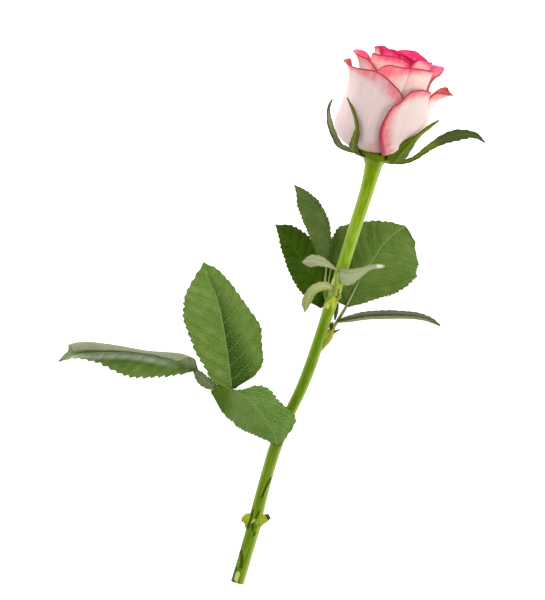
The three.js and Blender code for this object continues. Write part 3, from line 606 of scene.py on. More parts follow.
def leaf_skin(name, field, shade, vein, spacing, sunk, gloss, edge="#38431b", net=0.6, fleck=0.5, painted_rib_shade=0,
              lean=VEIN_LEAN, rib=0.85, veins=0.32, painted_sheen=None, turn=None, fade=99):
    """field and shade are the two greens of the blade, vein its rib colour; sunk is below 0 where ribs stand
    out. painted_rib_shade is painted shade that darkens the right side of the midrib towards the base, where
    that half folds away from the light, and painted_sheen is a painted highlight: a pale band left of the
    midrib and a fainter pale patch over the base of the blade.
    turn is where along the blade a second colour starts and is full, its share and the colour; fade is where
    the midrib ends."""
    material, tree = new_material(name)
    rim, along, across = (add(tree, "ShaderNodeAttribute", attribute_name=mark, out="Fac")
                          for mark in ("rim_mm", "along_mm", "across_mm"))
    out = add(tree, "ShaderNodeMath", {0: across}, operation="ABSOLUTE")
    side = add(tree, "ShaderNodeMath", {0: across}, operation="SIGN")
    slope = add(tree, "ShaderNodeMath", {0: out, 1: lean}, operation="MULTIPLY")
    curve = add(tree, "ShaderNodeMath", {0: out, 1: out}, operation="MULTIPLY")
    curve = add(tree, "ShaderNodeMath", {0: curve, 1: VEIN_CURVE, 2: slope}, operation="MULTIPLY_ADD")
    reach = add(tree, "ShaderNodeMath", {0: along, 1: curve}, operation="SUBTRACT")
    wobble = add(tree, "ShaderNodeTexNoise", {
        "Vector": add(tree, "ShaderNodeCombineXYZ", {"X": across, "Y": along, "Z": spacing}),
        "Scale": 0.22, "Detail": 1.0}, noise_dimensions="3D")
    reach = add(tree, "ShaderNodeMath", {0: wobble, 1: 1.8, 2: reach}, operation="MULTIPLY_ADD")
    step = add(tree, "ShaderNodeMath", {0: reach, 1: 1 / spacing}, operation="MULTIPLY")
    step = add(tree, "ShaderNodeMath", {0: side, 1: VEIN_STAGGER, 2: step}, operation="MULTIPLY_ADD")
    saw = add(tree, "ShaderNodeMath", {0: step}, operation="FRACT")
    saw = add(tree, "ShaderNodeMath", {0: saw, 1: 0.5}, operation="SUBTRACT")
    saw = add(tree, "ShaderNodeMath", {0: saw}, operation="ABSOLUTE")
    side_vein = add(tree, "ShaderNodeMapRange", {"Value": saw, "From Min": 0.43, "From Max": 0.495},
                    interpolation_type="SMOOTHSTEP")
    fading = add(tree, "ShaderNodeMapRange", {"Value": rim, "From Min": 0.5, "From Max": 4.0})
    side_vein = add(tree, "ShaderNodeMath", {0: side_vein, 1: fading}, operation="MULTIPLY")
    midrib = add(tree, "ShaderNodeMapRange", {"Value": out, "From Min": 0.42, "From Max": 0.12,
                                              "To Max": rib}, interpolation_type="SMOOTHSTEP")
    ending = add(tree, "ShaderNodeMapRange", {"Value": along, "From Min": fade, "From Max": fade - 6.0},
                 interpolation_type="SMOOTHSTEP")
    midrib = add(tree, "ShaderNodeMath", {0: midrib, 1: ending}, operation="MULTIPLY")
    ribs = add(tree, "ShaderNodeMath", {0: side_vein, 1: midrib}, operation="MAXIMUM")
    # The net's meshes are 1.4 mm across.
    where = add(tree, "ShaderNodeCombineXYZ", {"X": across, "Y": along})
    mesh = add(tree, "ShaderNodeTexVoronoi", {"Vector": where, "Scale": 0.7}, feature="DISTANCE_TO_EDGE",
               voronoi_dimensions="2D")
    fine = add(tree, "ShaderNodeMapRange", {"Value": mesh, "From Min": 0.16, "From Max": 0.0, "To Max": net})
    clouds = add(tree, "ShaderNodeTexNoise", {"Vector": where, "Scale": 0.16, "Detail": 4.0,
                                              "Roughness": 0.65}, noise_dimensions="2D")
    clouds = add(tree, "ShaderNodeMapRange", {"Value": clouds, "From Min": 0.3, "From Max": 0.7,
                                              "To Max": 0.7})
    grain = add(tree, "ShaderNodeTexNoise", {"Vector": where, "Scale": 1.5, "Detail": 2.0},
                noise_dimensions="2D")
    grain = add(tree, "ShaderNodeMapRange", {"Value": grain, "From Min": 0.4, "From Max": 0.75,
                                             "To Max": fleck})
    # Painted shade: next to each side vein the blade is painted towards the darker green, where it dips
    # between its bulges.
    beside = add(tree, "ShaderNodeMapRange", {"Value": saw, "From Min": 0.1, "From Max": 0.42, "To Max": 0.4})
    colour = linear(field)
    for share in (clouds, beside, grain):
        colour = add(tree, "ShaderNodeMix", {0: share, 6: colour, 7: linear(shade)}, out=2, data_type="RGBA")
    # Painted shade: the right half is darkened beside the midrib towards the base, for the shade where it
    # folds.
    if painted_rib_shade:
        right = add(tree, "ShaderNodeMath", {0: across, 1: 0.0}, operation="GREATER_THAN")
        far = add(tree, "ShaderNodeMath", {0: along, 1: 0.27, 2: across}, operation="MULTIPLY_ADD")
        deep = add(tree, "ShaderNodeMapRange", {"Value": far, "From Min": 17.5, "From Max": 7.5,
                                                "To Max": painted_rib_shade}, interpolation_type="SMOOTHSTEP")
        deep = add(tree, "ShaderNodeMath", {0: deep, 1: right}, operation="MULTIPLY")
        colour = add(tree, "ShaderNodeMix", {0: deep, 6: colour, 7: linear(PAINTED_SHADE_GREEN)}, out=2,
                     data_type="RGBA")
    thin = add(tree, "ShaderNodeMath", {0: fine, 1: 0.45}, operation="MULTIPLY")
    colour = add(tree, "ShaderNodeMix", {0: thin, 6: colour, 7: linear(vein)}, out=2, data_type="RGBA")
    if painted_sheen:
        # Painted highlight: a pale band just left of the midrib, where the blade turns, and a fainter pale
        # patch over its base.
        inner = add(tree, "ShaderNodeMapRange", {"Value": across, "From Min": 0.3, "From Max": -0.8},
                    interpolation_type="SMOOTHSTEP")
        outer = add(tree, "ShaderNodeMapRange", {"Value": across, "From Min": -4.8, "From Max": -2.2},
                    interpolation_type="SMOOTHSTEP")
        lit = add(tree, "ShaderNodeMath", {0: inner, 1: outer}, operation="MULTIPLY")
        begun = add(tree, "ShaderNodeMapRange", {"Value": along, "From Min": 8.0, "From Max": 22.0})
        lit = add(tree, "ShaderNodeMath", {0: lit, 1: begun}, operation="MULTIPLY")
        base = add(tree, "ShaderNodeMapRange", {"Value": along, "From Min": 16.0, "From Max": 8.0,
                                                "To Max": 0.3}, interpolation_type="SMOOTHSTEP")
        above = add(tree, "ShaderNodeMapRange", {"Value": across, "From Min": -2.0, "From Max": 0.5},
                    interpolation_type="SMOOTHSTEP")
        base = add(tree, "ShaderNodeMath", {0: base, 1: above}, operation="MULTIPLY")
        lit = add(tree, "ShaderNodeMath", {0: lit, 1: base}, operation="MAXIMUM")
        colour = add(tree, "ShaderNodeMix", {0: lit, 6: colour, 7: linear(painted_sheen)}, out=2, data_type="RGBA")
    if turn:
        beyond = add(tree, "ShaderNodeMapRange", {"Value": along, "From Min": turn[0], "From Max": turn[1],
                                                  "To Max": turn[2]}, interpolation_type="SMOOTHSTEP")
        colour = add(tree, "ShaderNodeMix", {0: beyond, 6: colour, 7: linear(turn[3])}, out=2,
                     data_type="RGBA")
    shown = add(tree, "ShaderNodeMath", {0: side_vein, 1: veins}, operation="MULTIPLY")
    shown = add(tree, "ShaderNodeMath", {0: shown, 1: midrib}, operation="MAXIMUM")
    colour = add(tree, "ShaderNodeMix", {0: shown, 6: colour, 7: linear(vein)}, out=2, data_type="RGBA")
    dry = add(tree, "ShaderNodeMapRange", {"Value": rim, "From Min": 0.8, "From Max": 0.1, "To Max": 0.8})
    colour = add(tree, "ShaderNodeMix", {0: dry, 6: colour, 7: linear(edge)}, out=2, data_type="RGBA")
    height = add(tree, "ShaderNodeMath", {0: fine, 1: 0.35, 2: ribs}, operation="MULTIPLY_ADD")
    relief = add(tree, "ShaderNodeBump", {"Height": height, "Strength": 0.5, "Distance": -0.0003 * sunk},
                 out="Normal")
    shader = add(tree, "ShaderNodeBsdfPrincipled", {
        "Base Color": colour, "Roughness": gloss, "IOR": 1.45, "Specular IOR Level": 0.06, "Normal": relief})
    add(tree, "ShaderNodeOutputMaterial", {"Surface": shader})
    return material


LEAF_BROAD = leaf_skin("leaf_upper_broad_skin", "#738c46", "#496817", "#92ab60", 6.4, 1.0, 0.42, painted_rib_shade=0.92,
                       fade=48)
LEAF_RIGHT = leaf_skin("leaf_upper_right_skin", "#677e3d", "#446219", "#7f974c", 6.5, 1.0, 0.42)
# Its pale band along the midrib is a painted highlight.
LEAF_LONG = leaf_skin("leaf_upper_long_skin", "#748c48", "#4a6918", "#7f974c", 6.0, 1.0, 0.42,
                      painted_sheen="#d2e0be", rib=0.3, turn=(52, 60, 0.55, "#a3b484"))
LEAF_FOLDED = leaf_skin("leaf_upper_folded_skin", "#728f49", "#466b18", "#9ab56e", 3.6, 1.0, 0.42, lean=1.15,
                        rib=0.3, veins=0.6, turn=(14, 7, 0.8, "#456200"))
LEAF_DARK = leaf_skin("leaf_upper_dark_skin", "#5b6f33", "#3a5012", "#76855a", 3.6, 1.0, 0.45, lean=2.2,
                      veins=0.5, rib=0.3)
# Painted shade: a darker copy of the leaf green, for the low leaflet behind the stem.
LEAF_SHADED = leaf_skin("leaf_upper_shaded_skin", "#405e0e", "#274200", "#50700e", 5.0, 1.0, 0.45, rib=0.5)
LEAF_UNDER = leaf_skin("leaf_lower_skin", "#8b9174", "#7b8362", "#a1a888", 5.5, -1.0, 0.6)
LEAF_GREY = leaf_skin("leaf_narrow_skin", "#76825a", "#626d44", "#8c946c", 4.0, -1.0, 0.6)
LEAF_EDGE = leaf_skin("leaf_standing_skin", "#9ca286", "#8b9272", "#b2b798", 4.0, -1.0, 0.6)
YOUNG_TOP = leaf_skin("young_leaf_skin", "#a8af88", "#98a070", "#bfc59c", 2.6, 1.0, 0.65, edge="#8d8f60")
YOUNG_PALE = leaf_skin("young_pale_tip_skin", "#a8af88", "#98a070", "#bfc59c", 2.6, 1.0, 0.65, edge="#8d8f60",
                       turn=(18.2, 19.7, 1.0, "#fbfff0"))
YOUNG_YELLOW = leaf_skin("young_yellow_skin", "#a3aa68", "#949c58", "#bac088", 2.6, 1.0, 0.65, edge="#8d8f60")
SEPAL_BACK = leaf_skin("sepal_outer_skin", "#566c00", "#455800", "#728418", 4.0, -1.0, 0.55)
SEPAL_OLIVE = leaf_skin("sepal_outer_olive_skin", "#5b6800", "#535e04", "#737e1c", 4.0, -1.0, 0.55)
SEPAL_LONG = leaf_skin("sepal_long_skin", "#7d8c30", "#66761c", "#7c8a44", 3.6, 1.0, 0.5, lean=2.2, veins=0.5,
                       rib=0.3, turn=(22, 29, 0.9, "#42542a"))
SEPAL_COLLAR = leaf_skin("sepal_collar_skin", "#6d840c", "#566c04", "#82921e", 4.0, -1.0, 0.55)
SEPAL_LINING = leaf_skin("sepal_inner_skin", "#a0a87c", "#848e5e", "#acb488", 4.0, 1.0, 0.7)
print("green skins:",
      [m.name for m in bpy.data.materials if m.name.endswith("skin") and "petal" not in m.name])

# %% [markdown]
# ## Leaflets
# A leaflet is a blade on a curved midrib. Its two halves leave the rib at their own fold angles and bend on,
# its outline is a saw whose teeth lean to the tip, the blade bulges between its side veins, and the midrib
# lies in a groove. All of this is a function of the share along the rib and the share across.

# %% One leaflet
NARROWEST = 0.15  # mm from the midrib to the margin at a leaflet's end
TOOTH_RISE = 0.78  # the share of a tooth that slopes up before it drops back


def leaflet(name, rib, face, half=(1, 1), fold=(8, 8), curl=(0, 0), teeth=18, tooth=0.9,
            shape=((0.5, 0.8), (0.5, 0.8)), rows=128, columns=36, thickness=0.4, spacing=5.5, bulge=0.3,
            wave=0.35, seed=0, groove=0.35, outline=None, lean=VEIN_LEAN, *, skins):
    """A blade in mm and degrees. Pairs are for its left and right halves, and a list in place of a number
    gives values at even steps from base to tip. half and shape make the outline if outline is None."""
    t = np.linspace(0, 1, rows + 1)
    centre, forward, length = smooth_line(rib, t)
    faces = np.asarray(face, float)
    if faces.ndim == 1:
        faces = np.stack([faces, faces])
    up = faces[0] * (1 - t[:, None]) + faces[1] * t[:, None]
    up = unit(up - forward * (up * forward).sum(1, keepdims=True))
    sideways = np.cross(forward, up)
    even = np.linspace(-1, 1, columns + 1)
    share = np.sign(even) * (0.75 * np.abs(even) + 0.25 * np.sin(np.pi / 2 * np.abs(even)))
    along = t * length
    points = np.zeros((rows + 1, columns + 1, 3))
    across = np.zeros((rows + 1, columns + 1))
    margin = np.zeros((rows + 1, columns + 1))
    # Teeth are smaller near the base and the tip, and each has its own size.
    step = t * teeth
    number = np.minimum(step.astype(int), teeth - 1)
    for column, s in enumerate(share):
        side = 0 if s < 0 else 1
        a, b = shape[side]
        widest = a / (a + b)
        kept = np.clip(t, 0.015, 0.985)
        full = half[side] * (kept / widest) ** a * ((1 - kept) / (1 - widest)) ** b
        if outline:
            full = profile(outline[side], t)
        size = (np.ones(2) * tooth)[side] * np.array(TOOTH_SIZES[side][:teeth])[number]
        phase = step - number
        saw = np.where(phase < TOOTH_RISE, phase / TOOTH_RISE, (1 - phase) / (1 - TOOTH_RISE))
        cut = size * (1 - saw) * np.abs(s) ** 7 * ramp(t, 0.02, 0.12) * ramp(1 - t, 0.0, 0.06)
        out = np.maximum(np.abs(s) * np.maximum(full, NARROWEST) - np.minimum(cut, 0.6 * full), 0)
        start, bend = (np.radians(profile(np.ravel([v, v]) if np.ndim(v) == 0 else v, t))
                       for v in (fold[side], curl[side]))
        bend = np.where(np.abs(bend) < 1e-6, 1e-6, bend)
        end = start + bend * out
        lateral, lift = (np.sin(end) - np.sin(start)) / bend, (np.cos(start) - np.cos(end)) / bend
        # Side veins: where the blade is held down; it bulges up between them.
        reach = along - lean * out - VEIN_CURVE * out**2 + 0.9
        cells = reach / spacing + (VEIN_STAGGER if s > 0 else -VEIN_STAGGER)
        held = np.abs(cells - np.floor(cells) - 0.5) * 2  # 1 on a vein, 0 between two
        puff = bulge * (1 - held**2) * ramp(out, 0.2, 2.5) * ramp(full - out, 0.0, 2.5)
        ruffle = wave * np.abs(s) ** 2 * (np.sin(t * 17 + seed) + 0.6 * np.sin(t * 29 + 2.1 * seed + side)) \
            * ramp(t, 0, 0.15) * ramp(1 - t, 0, 0.15)
        valley = -groove * np.exp(-(out / 0.8) ** 2) * ramp(1 - t, 0, 0.2)
        height = lift + puff + ruffle + valley
        points[:, column] = centre + sideways * (np.sign(s) * lateral)[:, None] + up * height[:, None]
        across[:, column] = np.sign(s) * out
        margin[:, column] = np.maximum(full, NARROWEST) - out
    margin = np.minimum(margin, np.minimum(along, length - along)[:, None] * 0.7)
    points[:, :, 2] = np.maximum(points[:, :, 2], thickness / 2 + ABOVE_TABLE)
    marks = {"rim_mm": np.maximum(margin, 0), "along_mm": np.broadcast_to(along[:, None], across.shape),
             "across_mm": across}
    return sheet(name, points, thickness, marks, skins)


tooth_draw = random.Random(7)
TOOTH_SIZES = [[tooth_draw.uniform(0.55, 1.2) for _ in range(40)] for _ in range(2)]
UP = [0, 0, 1]
print("tooth sizes drawn for each side:", len(TOOTH_SIZES[0]))

# %% [markdown]
# ## The lower leaf
# One compound leaf: a stalk from the stem to a junction, and from there a terminal leaflet rolled about its
# length, a broad upper leaflet, one folded over the stem and a small one. They grew as one piece, so they end
# as one mesh.

# %% Stalk bark
def bark(name, light, dark, gloss=0.45):
    """Bark, scale or pith: lengthwise fibres about 0.6 mm wide under a thin wax."""
    material, tree = new_material(name)
    along, across = (add(tree, "ShaderNodeAttribute", attribute_name=mark, out="Fac")
                     for mark in ("along_mm", "across_mm"))
    slow = add(tree, "ShaderNodeMath", {0: along, 1: 0.06}, operation="MULTIPLY")
    run = add(tree, "ShaderNodeCombineXYZ", {"X": across, "Y": slow, "Z": 1.0})
    fibres = add(tree, "ShaderNodeTexNoise", {"Vector": run, "Scale": 1.6, "Detail": 3.0, "Roughness": 0.6},
                 noise_dimensions="3D")
    mixed = add(tree, "ShaderNodeMapRange", {"Value": fibres, "From Min": 0.35, "From Max": 0.65})
    colour = add(tree, "ShaderNodeMix", {0: mixed, 6: linear(light), 7: linear(dark)}, out=2,
                 data_type="RGBA")
    relief = add(tree, "ShaderNodeBump", {"Height": fibres, "Strength": 0.35, "Distance": 0.0002},
                 out="Normal")
    shader = add(tree, "ShaderNodeBsdfPrincipled", {
        "Base Color": colour, "Roughness": gloss, "IOR": 1.45, "Specular IOR Level": 0.2, "Normal": relief})
    add(tree, "ShaderNodeOutputMaterial", {"Surface": shader})
    return material


STALK_BARK = bark("leaf_stalk_bark", "#8ea34a", "#6f8a34")
PALE_STALK = bark("pale_leaf_stalk_bark", "#a3ad72", "#889556")
DARK_STALK = bark("dark_leaf_stalk_bark", "#7d8a48", "#59672e")
DARK_SCALE = bark("dark_stipule_scale", "#4d5636", "#343b22", 0.6)
JUNCTION_BARK = bark("leaf_junction_bark", "#a8954e", "#7d6c34")
BUD_SCALE = bark("bud_scale", "#a8a632", "#787e20")
DRY_SCALE = bark("dry_brown_scale", "#4a3a20", "#322616", 0.7)

# %% Make the lower leaf
lower_leaf = [
    stalk("petiole", [[-3.0, 69.3, 8.1], [-9, 72, 7.6], [-20, 76.5, 5.8], [-28, 78.7, 4.4],
                      [-36.5, 80.3, 4.2]], [1.5, 1.1, 0.95, 0.9, 0.95], STALK_BARK, rings=30),
    stalk("junction", [[-39.2, 79.9, 5], [-37.8, 79.6, 5.4], [-36.2, 80, 5]], [0.5, 0.85, 0.6], JUNCTION_BARK,
          rings=8),
    stalk("rachis", [[-35.5, 80.2, 4.3], [-42, 82, 5.2], [-49, 85.5, 5.6]], [0.95, 0.8, 0.75], STALK_BARK,
          rings=12),
    leaflet("terminal", [[-46.5, 85.8, 5.7], [-58, 86.8, 6.4], [-72, 85.6, 6.2], [-80, 84, 5.4],
                         [-90, 80.8, 3.8], [-100, 76.6, 1.6], [-108, 70.3, 0.25]], [UP, [0, 0.2, 1]],
            fold=(12, [20, 24, 40, 55, 50, 30, 12, 10, 10]),
            curl=(-0.5, [10, 9, 9.7, 10, 9.2, 11, 12, 11, 10]),
            teeth=19, tooth=(1.5, 0.5),
            outline=([0.4, 5.8, 9, 10.8, 12.2, 11.8, 9.4, 6.2, 3.8, 1.6, 0.2],
                     [0.4, 5.6, 11.2, 14.6, 12.9, 11.3, 9.6, 8.5, 8.6, 9.2, 10.2, 10.9, 11.7, 12.4, 13.2,
                      13.8, 14.3, 14.2, 4, 1.8, 0.2]),
            spacing=6.0, seed=1, groove=0.2, rows=180, wave=0.25, skins=(LEAF_LONG, LEAF_UNDER)),
    leaflet("upper", [[-29, 82.3, 6.8], [-37, 99.5, 9.6], [-47, 118, 7.2], [-58.6, 133, 0.25]],
            [0.12, 0, 1], fold=(6, 24), curl=(-0.3, -1.2), teeth=19, tooth=(1.2, 0.6),
            outline=([2.5, 9.6, 11, 13.3, 15.2, 16.2, 17.1, 17.6, 16.8, 15, 11.6, 6.4, 0.2],
                     [1.8, 11, 15.6, 16.2, 16.6, 17.3, 15.3, 12.7, 10.5, 8.6, 6.8, 4.6, 0.2]),
            spacing=6.4, bulge=0.42, seed=2, rows=150, columns=44, skins=(LEAF_BROAD, LEAF_UNDER)),
    stalk("upper_stalk", [[-36, 80.4, 4.4], [-32.5, 81.2, 5], [-28.9, 82.6, 6.2]], [0.85, 0.75, 0.7],
          STALK_BARK, rings=8),
    leaflet("folded", [[-38.5, 80.3, 5.8], [-32, 82, 7.8], [-26, 81.7, 10.2], [-19.5, 79.8, 12.8],
                       [-11, 74.2, 14.6], [-5.5, 69.2, 14.2], [-1.2, 64, 12.4]],
            [-0.1, 0.1, 1], fold=(4, -30), curl=(-0.8, -1), tooth=1.1, teeth=22,
            outline=([0.8, 0.8, 0.9, 0.2, 2.6, 7.8, 10, 10.2, 10.6, 11.9, 12.4, 6.8, 1.2],
                     [3.4, 13.8, 15.5, 15.8, 16.1, 16.3, 16.2, 15.2, 13.5, 11.4, 9, 5.4, 0.4]),
            spacing=3.6, seed=3, bulge=0.3, groove=0.2, lean=1.15, skins=(LEAF_FOLDED, LEAF_UNDER)),
    stalk("folded_stalk", [[-38, 80.2, 4.4], [-36, 80.6, 5], [-33.5, 81.4, 6.2]], [0.85, 0.8, 0.7],
          STALK_BARK, rings=8),
    leaflet("small", [[-36.5, 80.8, 6.4], [-42, 82, 8], [-47.6, 85.3, 8]], [0, -0.3, 1], (3.2, 2.8),
            (-10, 10),
            (0, 0), 6, 0.5, ((0.4, 0.5), (0.4, 0.5)), rows=48, columns=16, spacing=3, seed=4, wave=0.1,
            bulge=0.1,
            skins=(LEAF_GREY, LEAF_UNDER)),
]
settle(joined("fine_leaf_lower", lower_leaf), "leaf_lower")

# %% [markdown]
# ## The right leaf
# It grows from a bud in a yellow-green sheath, with a dry brown knot and bract and a dark stipule beside it.
# One leaflet is round and passes behind the stem, the other stands on edge and shows as a narrow blade.

# %% Make the right leaf
def stem_height(along):
    return 2.45 + 0.0762 * along


z = stem_height(118)
right_leaf = [
    stalk("sheath", [[3.7, 110, z - 0.4], [4.5, 114, z], [5.4, 118, z], [6.1, 121.5, z - 0.2],
                     [6.3, 123.4, z - 0.5]], [0.4, 1.25, 1.95, 1.7, 0.9], BUD_SCALE, rings=20),
    stalk("right_rachis", [[6.1, 122, z - 0.3], [7.3, 126.5, z - 1], [8.5, 131.2, z - 1.8],
                           [9.1, 134, z - 2]], [0.85, 0.75, 0.65, 0.6], DARK_STALK, rings=20),
    stalk("right_rachis_end", [[9.0, 133.6, z - 2], [9.4, 136, z - 2.1], [10, 140, z - 2],
                               [10.9, 145.5, z - 2.1]], [0.6, 0.6, 0.5, 0.35], PALE_STALK, rings=20),
    leaflet("round", [[9.3, 133.4, 8.9], [11, 146, 9.2], [13.7, 155, 8.8], [16.3, 164.5, 7], [20, 171.5, 3.8],
                      [23.5, 176.2, 0.25]],
            [0.05, 0, 1], fold=(-4, -2), curl=(0, -0.35), teeth=24, tooth=0.9,
            outline=([4.8, 10.4, 14.4, 18.5, 21.1, 21.4, 21.2, 15, 10.3, 5.2, 0.2],
                     [0.9, 7.2, 11.9, 15.7, 17.9, 20.2, 21.4, 20.9, 19.4, 17.4, 9]),
            spacing=5, bulge=0.4, seed=5, rows=150, columns=48, skins=(LEAF_RIGHT, LEAF_UNDER)),
    leaflet("narrow", [[7.4, 125.2, 10.6], [12, 126.9, 9.4], [20, 130.6, 8.2], [28, 133.4, 7.2], [36, 136, 6],
                       [44, 137.8, 3.6], [52, 137.7, 0.25]],
            [-0.1, 0.36, 1], (6.4, 6.4), (72, 84), (0.4, -0.4), 16, 0.5, ((0.4, 0.6), (0.4, 0.6)), seed=6,
            wave=0.15, bulge=0.15, groove=0.1, skins=(LEAF_EDGE, LEAF_GREY)),
    stalk("stipule", [[5.0, 133.6, z + 0.8], [5.3, 130, z + 0.6], [5.8, 126, z + 0.2]],
          [0.35, 0.75, 0.85, 0.45], DARK_SCALE, rings=10),
    stalk("knot", [[5.2, 121.2, z + 0.9], [5.2, 123, z + 1.3], [5.1, 124.6, z + 0.8]], [0.5, 0.95, 0.5],
          DRY_SCALE, rings=8),
    stalk("bract", [[7.0, 120.3, z + 0.4], [8.2, 121.6, z + 0.8], [9.5, 122.7, z + 0.6]], [0.5, 0.45, 0.2],
          DRY_SCALE, rings=8),
]
settle(joined("fine_leaf_right", right_leaf), "leaf_right")

# %% [markdown]
# ## The left leaf
# Two leaflets on one forked stalk, behind the stem. Their greens are the darkest of all the leaves, and the
# lower leaflet's is a darker copy of the leaf green, painted shade.

# %% Make the left leaf
z = stem_height(134)
left_leaf = [
    stalk("left_petiole", [[0.6, 133, z], [-1.4, 136.4, z], [-3.2, 139.6, z - 0.6]], [1.5, 1.4, 0.9],
          STALK_BARK, rings=10),
    stalk("left_fork", [[-2.8, 138, z - 0.4], [-3.9, 142.6, z], [-5.2, 149, z - 0.4]], [0.7, 0.5, 0.5],
          PALE_STALK, rings=10),
    stalk("left_strand", [[-1.4, 138.5, z], [-2.1, 142.5, z + 0.3], [-3, 148, z]], [0.5, 0.4, 0.4],
          PALE_STALK, rings=10),
    leaflet("left_lower", [[0.6, 131.2, z - 2.4], [-5, 137.5, z - 2.6], [-13, 144.7, z - 3.4],
                           [-23, 152.5, z - 5.4], [-32.7, 159, z - 7.8]],
            [0.1, -0.1, 1], fold=(-18, 12), curl=(-1, 0), teeth=20, tooth=0.9,
            outline=([3.6, 7.2, 8.6, 9.5, 9.6, 9, 8.1, 6.6, 5, 2.4, 0.2],
                     [2, 6, 7.8, 8.6, 8.8, 9.2, 9.5, 8.9, 7.5, 5.4, 0.2]), seed=8, spacing=5,
            skins=(LEAF_SHADED, LEAF_UNDER)),
    leaflet("left_upper", [[-5, 149, z - 0.6], [-6.6, 156, z + 0.8], [-9.2, 163, z + 1.6],
                           [-13.5, 169, z + 1.8],
                           [-19, 173.2, z + 1], [-25, 176.5, z - 0.6], [-30.2, 178.6, z - 2.4]],
            [0.3, 0.1, 1], fold=(10, 10), curl=(0, 0), teeth=20, tooth=0.8,
            outline=([1, 6, 8, 9.7, 10.3, 10.4, 10.1, 8.7, 6.8, 3.3, 0.1],
                     [0.3, 0.6, 0.9, 1.2, 1.8, 2, 2.2, 2.5, 2.1, 1.3, 0.1]), seed=9, spacing=3.6, lean=2.2,
            skins=(LEAF_DARK, LEAF_UNDER)),
]
settle(joined("fine_leaf_left", left_leaf), "leaf_left")

# %% [markdown]
# ## The young shoot in front
# Three young leaflets at the middle node, grey-green with down. One of them curls over and hangs.

# %% Make the front shoot
z = stem_height(140) + 2.9
YOUNG = (YOUNG_TOP, YOUNG_TOP)
front_shoot = [
    stalk("shoot_axis", [[2.2, 136.5, z - 0.4], [1.6, 141, z + 0.7], [0.8, 146.5, z + 1.3]], [1.3, 1.1, 0.8],
          STALK_BARK, rings=10),
    leaflet("left_arm", [[0.6, 147.3, z + 1.6], [-5, 148.4, z + 3.4], [-11, 148.6, z + 3.4],
                         [-16.2, 146.3, z + 1]], [0, -0.4, 1], fold=(-12, -10), teeth=8, tooth=0.6,
            outline=([0.3, 0.6, 0.9, 1.4, 2, 2.6, 3.2, 3.6, 3, 0.2],
                     [0.3, 0.9, 1.6, 2.3, 2.8, 3, 2.7, 1.7, 0.2]),
            rows=80, columns=20, spacing=2.6, bulge=0.12, wave=0.15, seed=10, skins=YOUNG),
    leaflet("right_arm", [[0.5, 147, z + 1.4], [5, 147, z + 3.4], [10, 149.5, z + 4], [14, 153, z + 3.8],
                          [19.9, 155.6, z + 2.4]],
            [0.1, -0.5, 1], fold=(5, 10), teeth=8, tooth=0.4,
            outline=([0.3, 2.8, 3.1, 3, 2.8, 2.6, 2, 1.8, 1.7, 1.5, 0.6],
                     [0.5, 3.6, 5.2, 4.6, 3.2, 2.1, 1.4, 1.1, 0.9, 0.8, 0.4]), rows=80, columns=20,
            spacing=2.6, bulge=0.12, wave=0.15, seed=11, skins=(YOUNG_PALE, YOUNG_PALE)),
    leaflet("curled", [[1.2, 139.2, z + 0.5], [-3.5, 139.2, z + 2.4], [-7.5, 136, z + 3],
                       [-8.7, 130.5, z + 0.8], [-8.1, 125, z - 3]],
            [-0.3, 0.1, 1], fold=(-10, -10), teeth=9, tooth=0.3, rows=70, columns=16,
            outline=([0.8, 1.7, 2.2, 2.3, 2.3, 2.3, 2, 1.2, 0.1],
                     [0.8, 1.7, 2.2, 2.3, 2.4, 2.6, 2.7, 2.1, 0.1]),
            spacing=2.4, bulge=0.1, wave=0.1, seed=12, skins=(YOUNG_YELLOW, YOUNG_YELLOW)),
]
settle(joined("fine_shoot_front", front_shoot), "shoot_front")

# %% [markdown]
# ## The calyx
# Five sepals on one collar round the hip. They are narrow leaves, downy inside, and one has grown long and
# leafy. In the bloom's frame each midrib is a path of radius, angle and height.

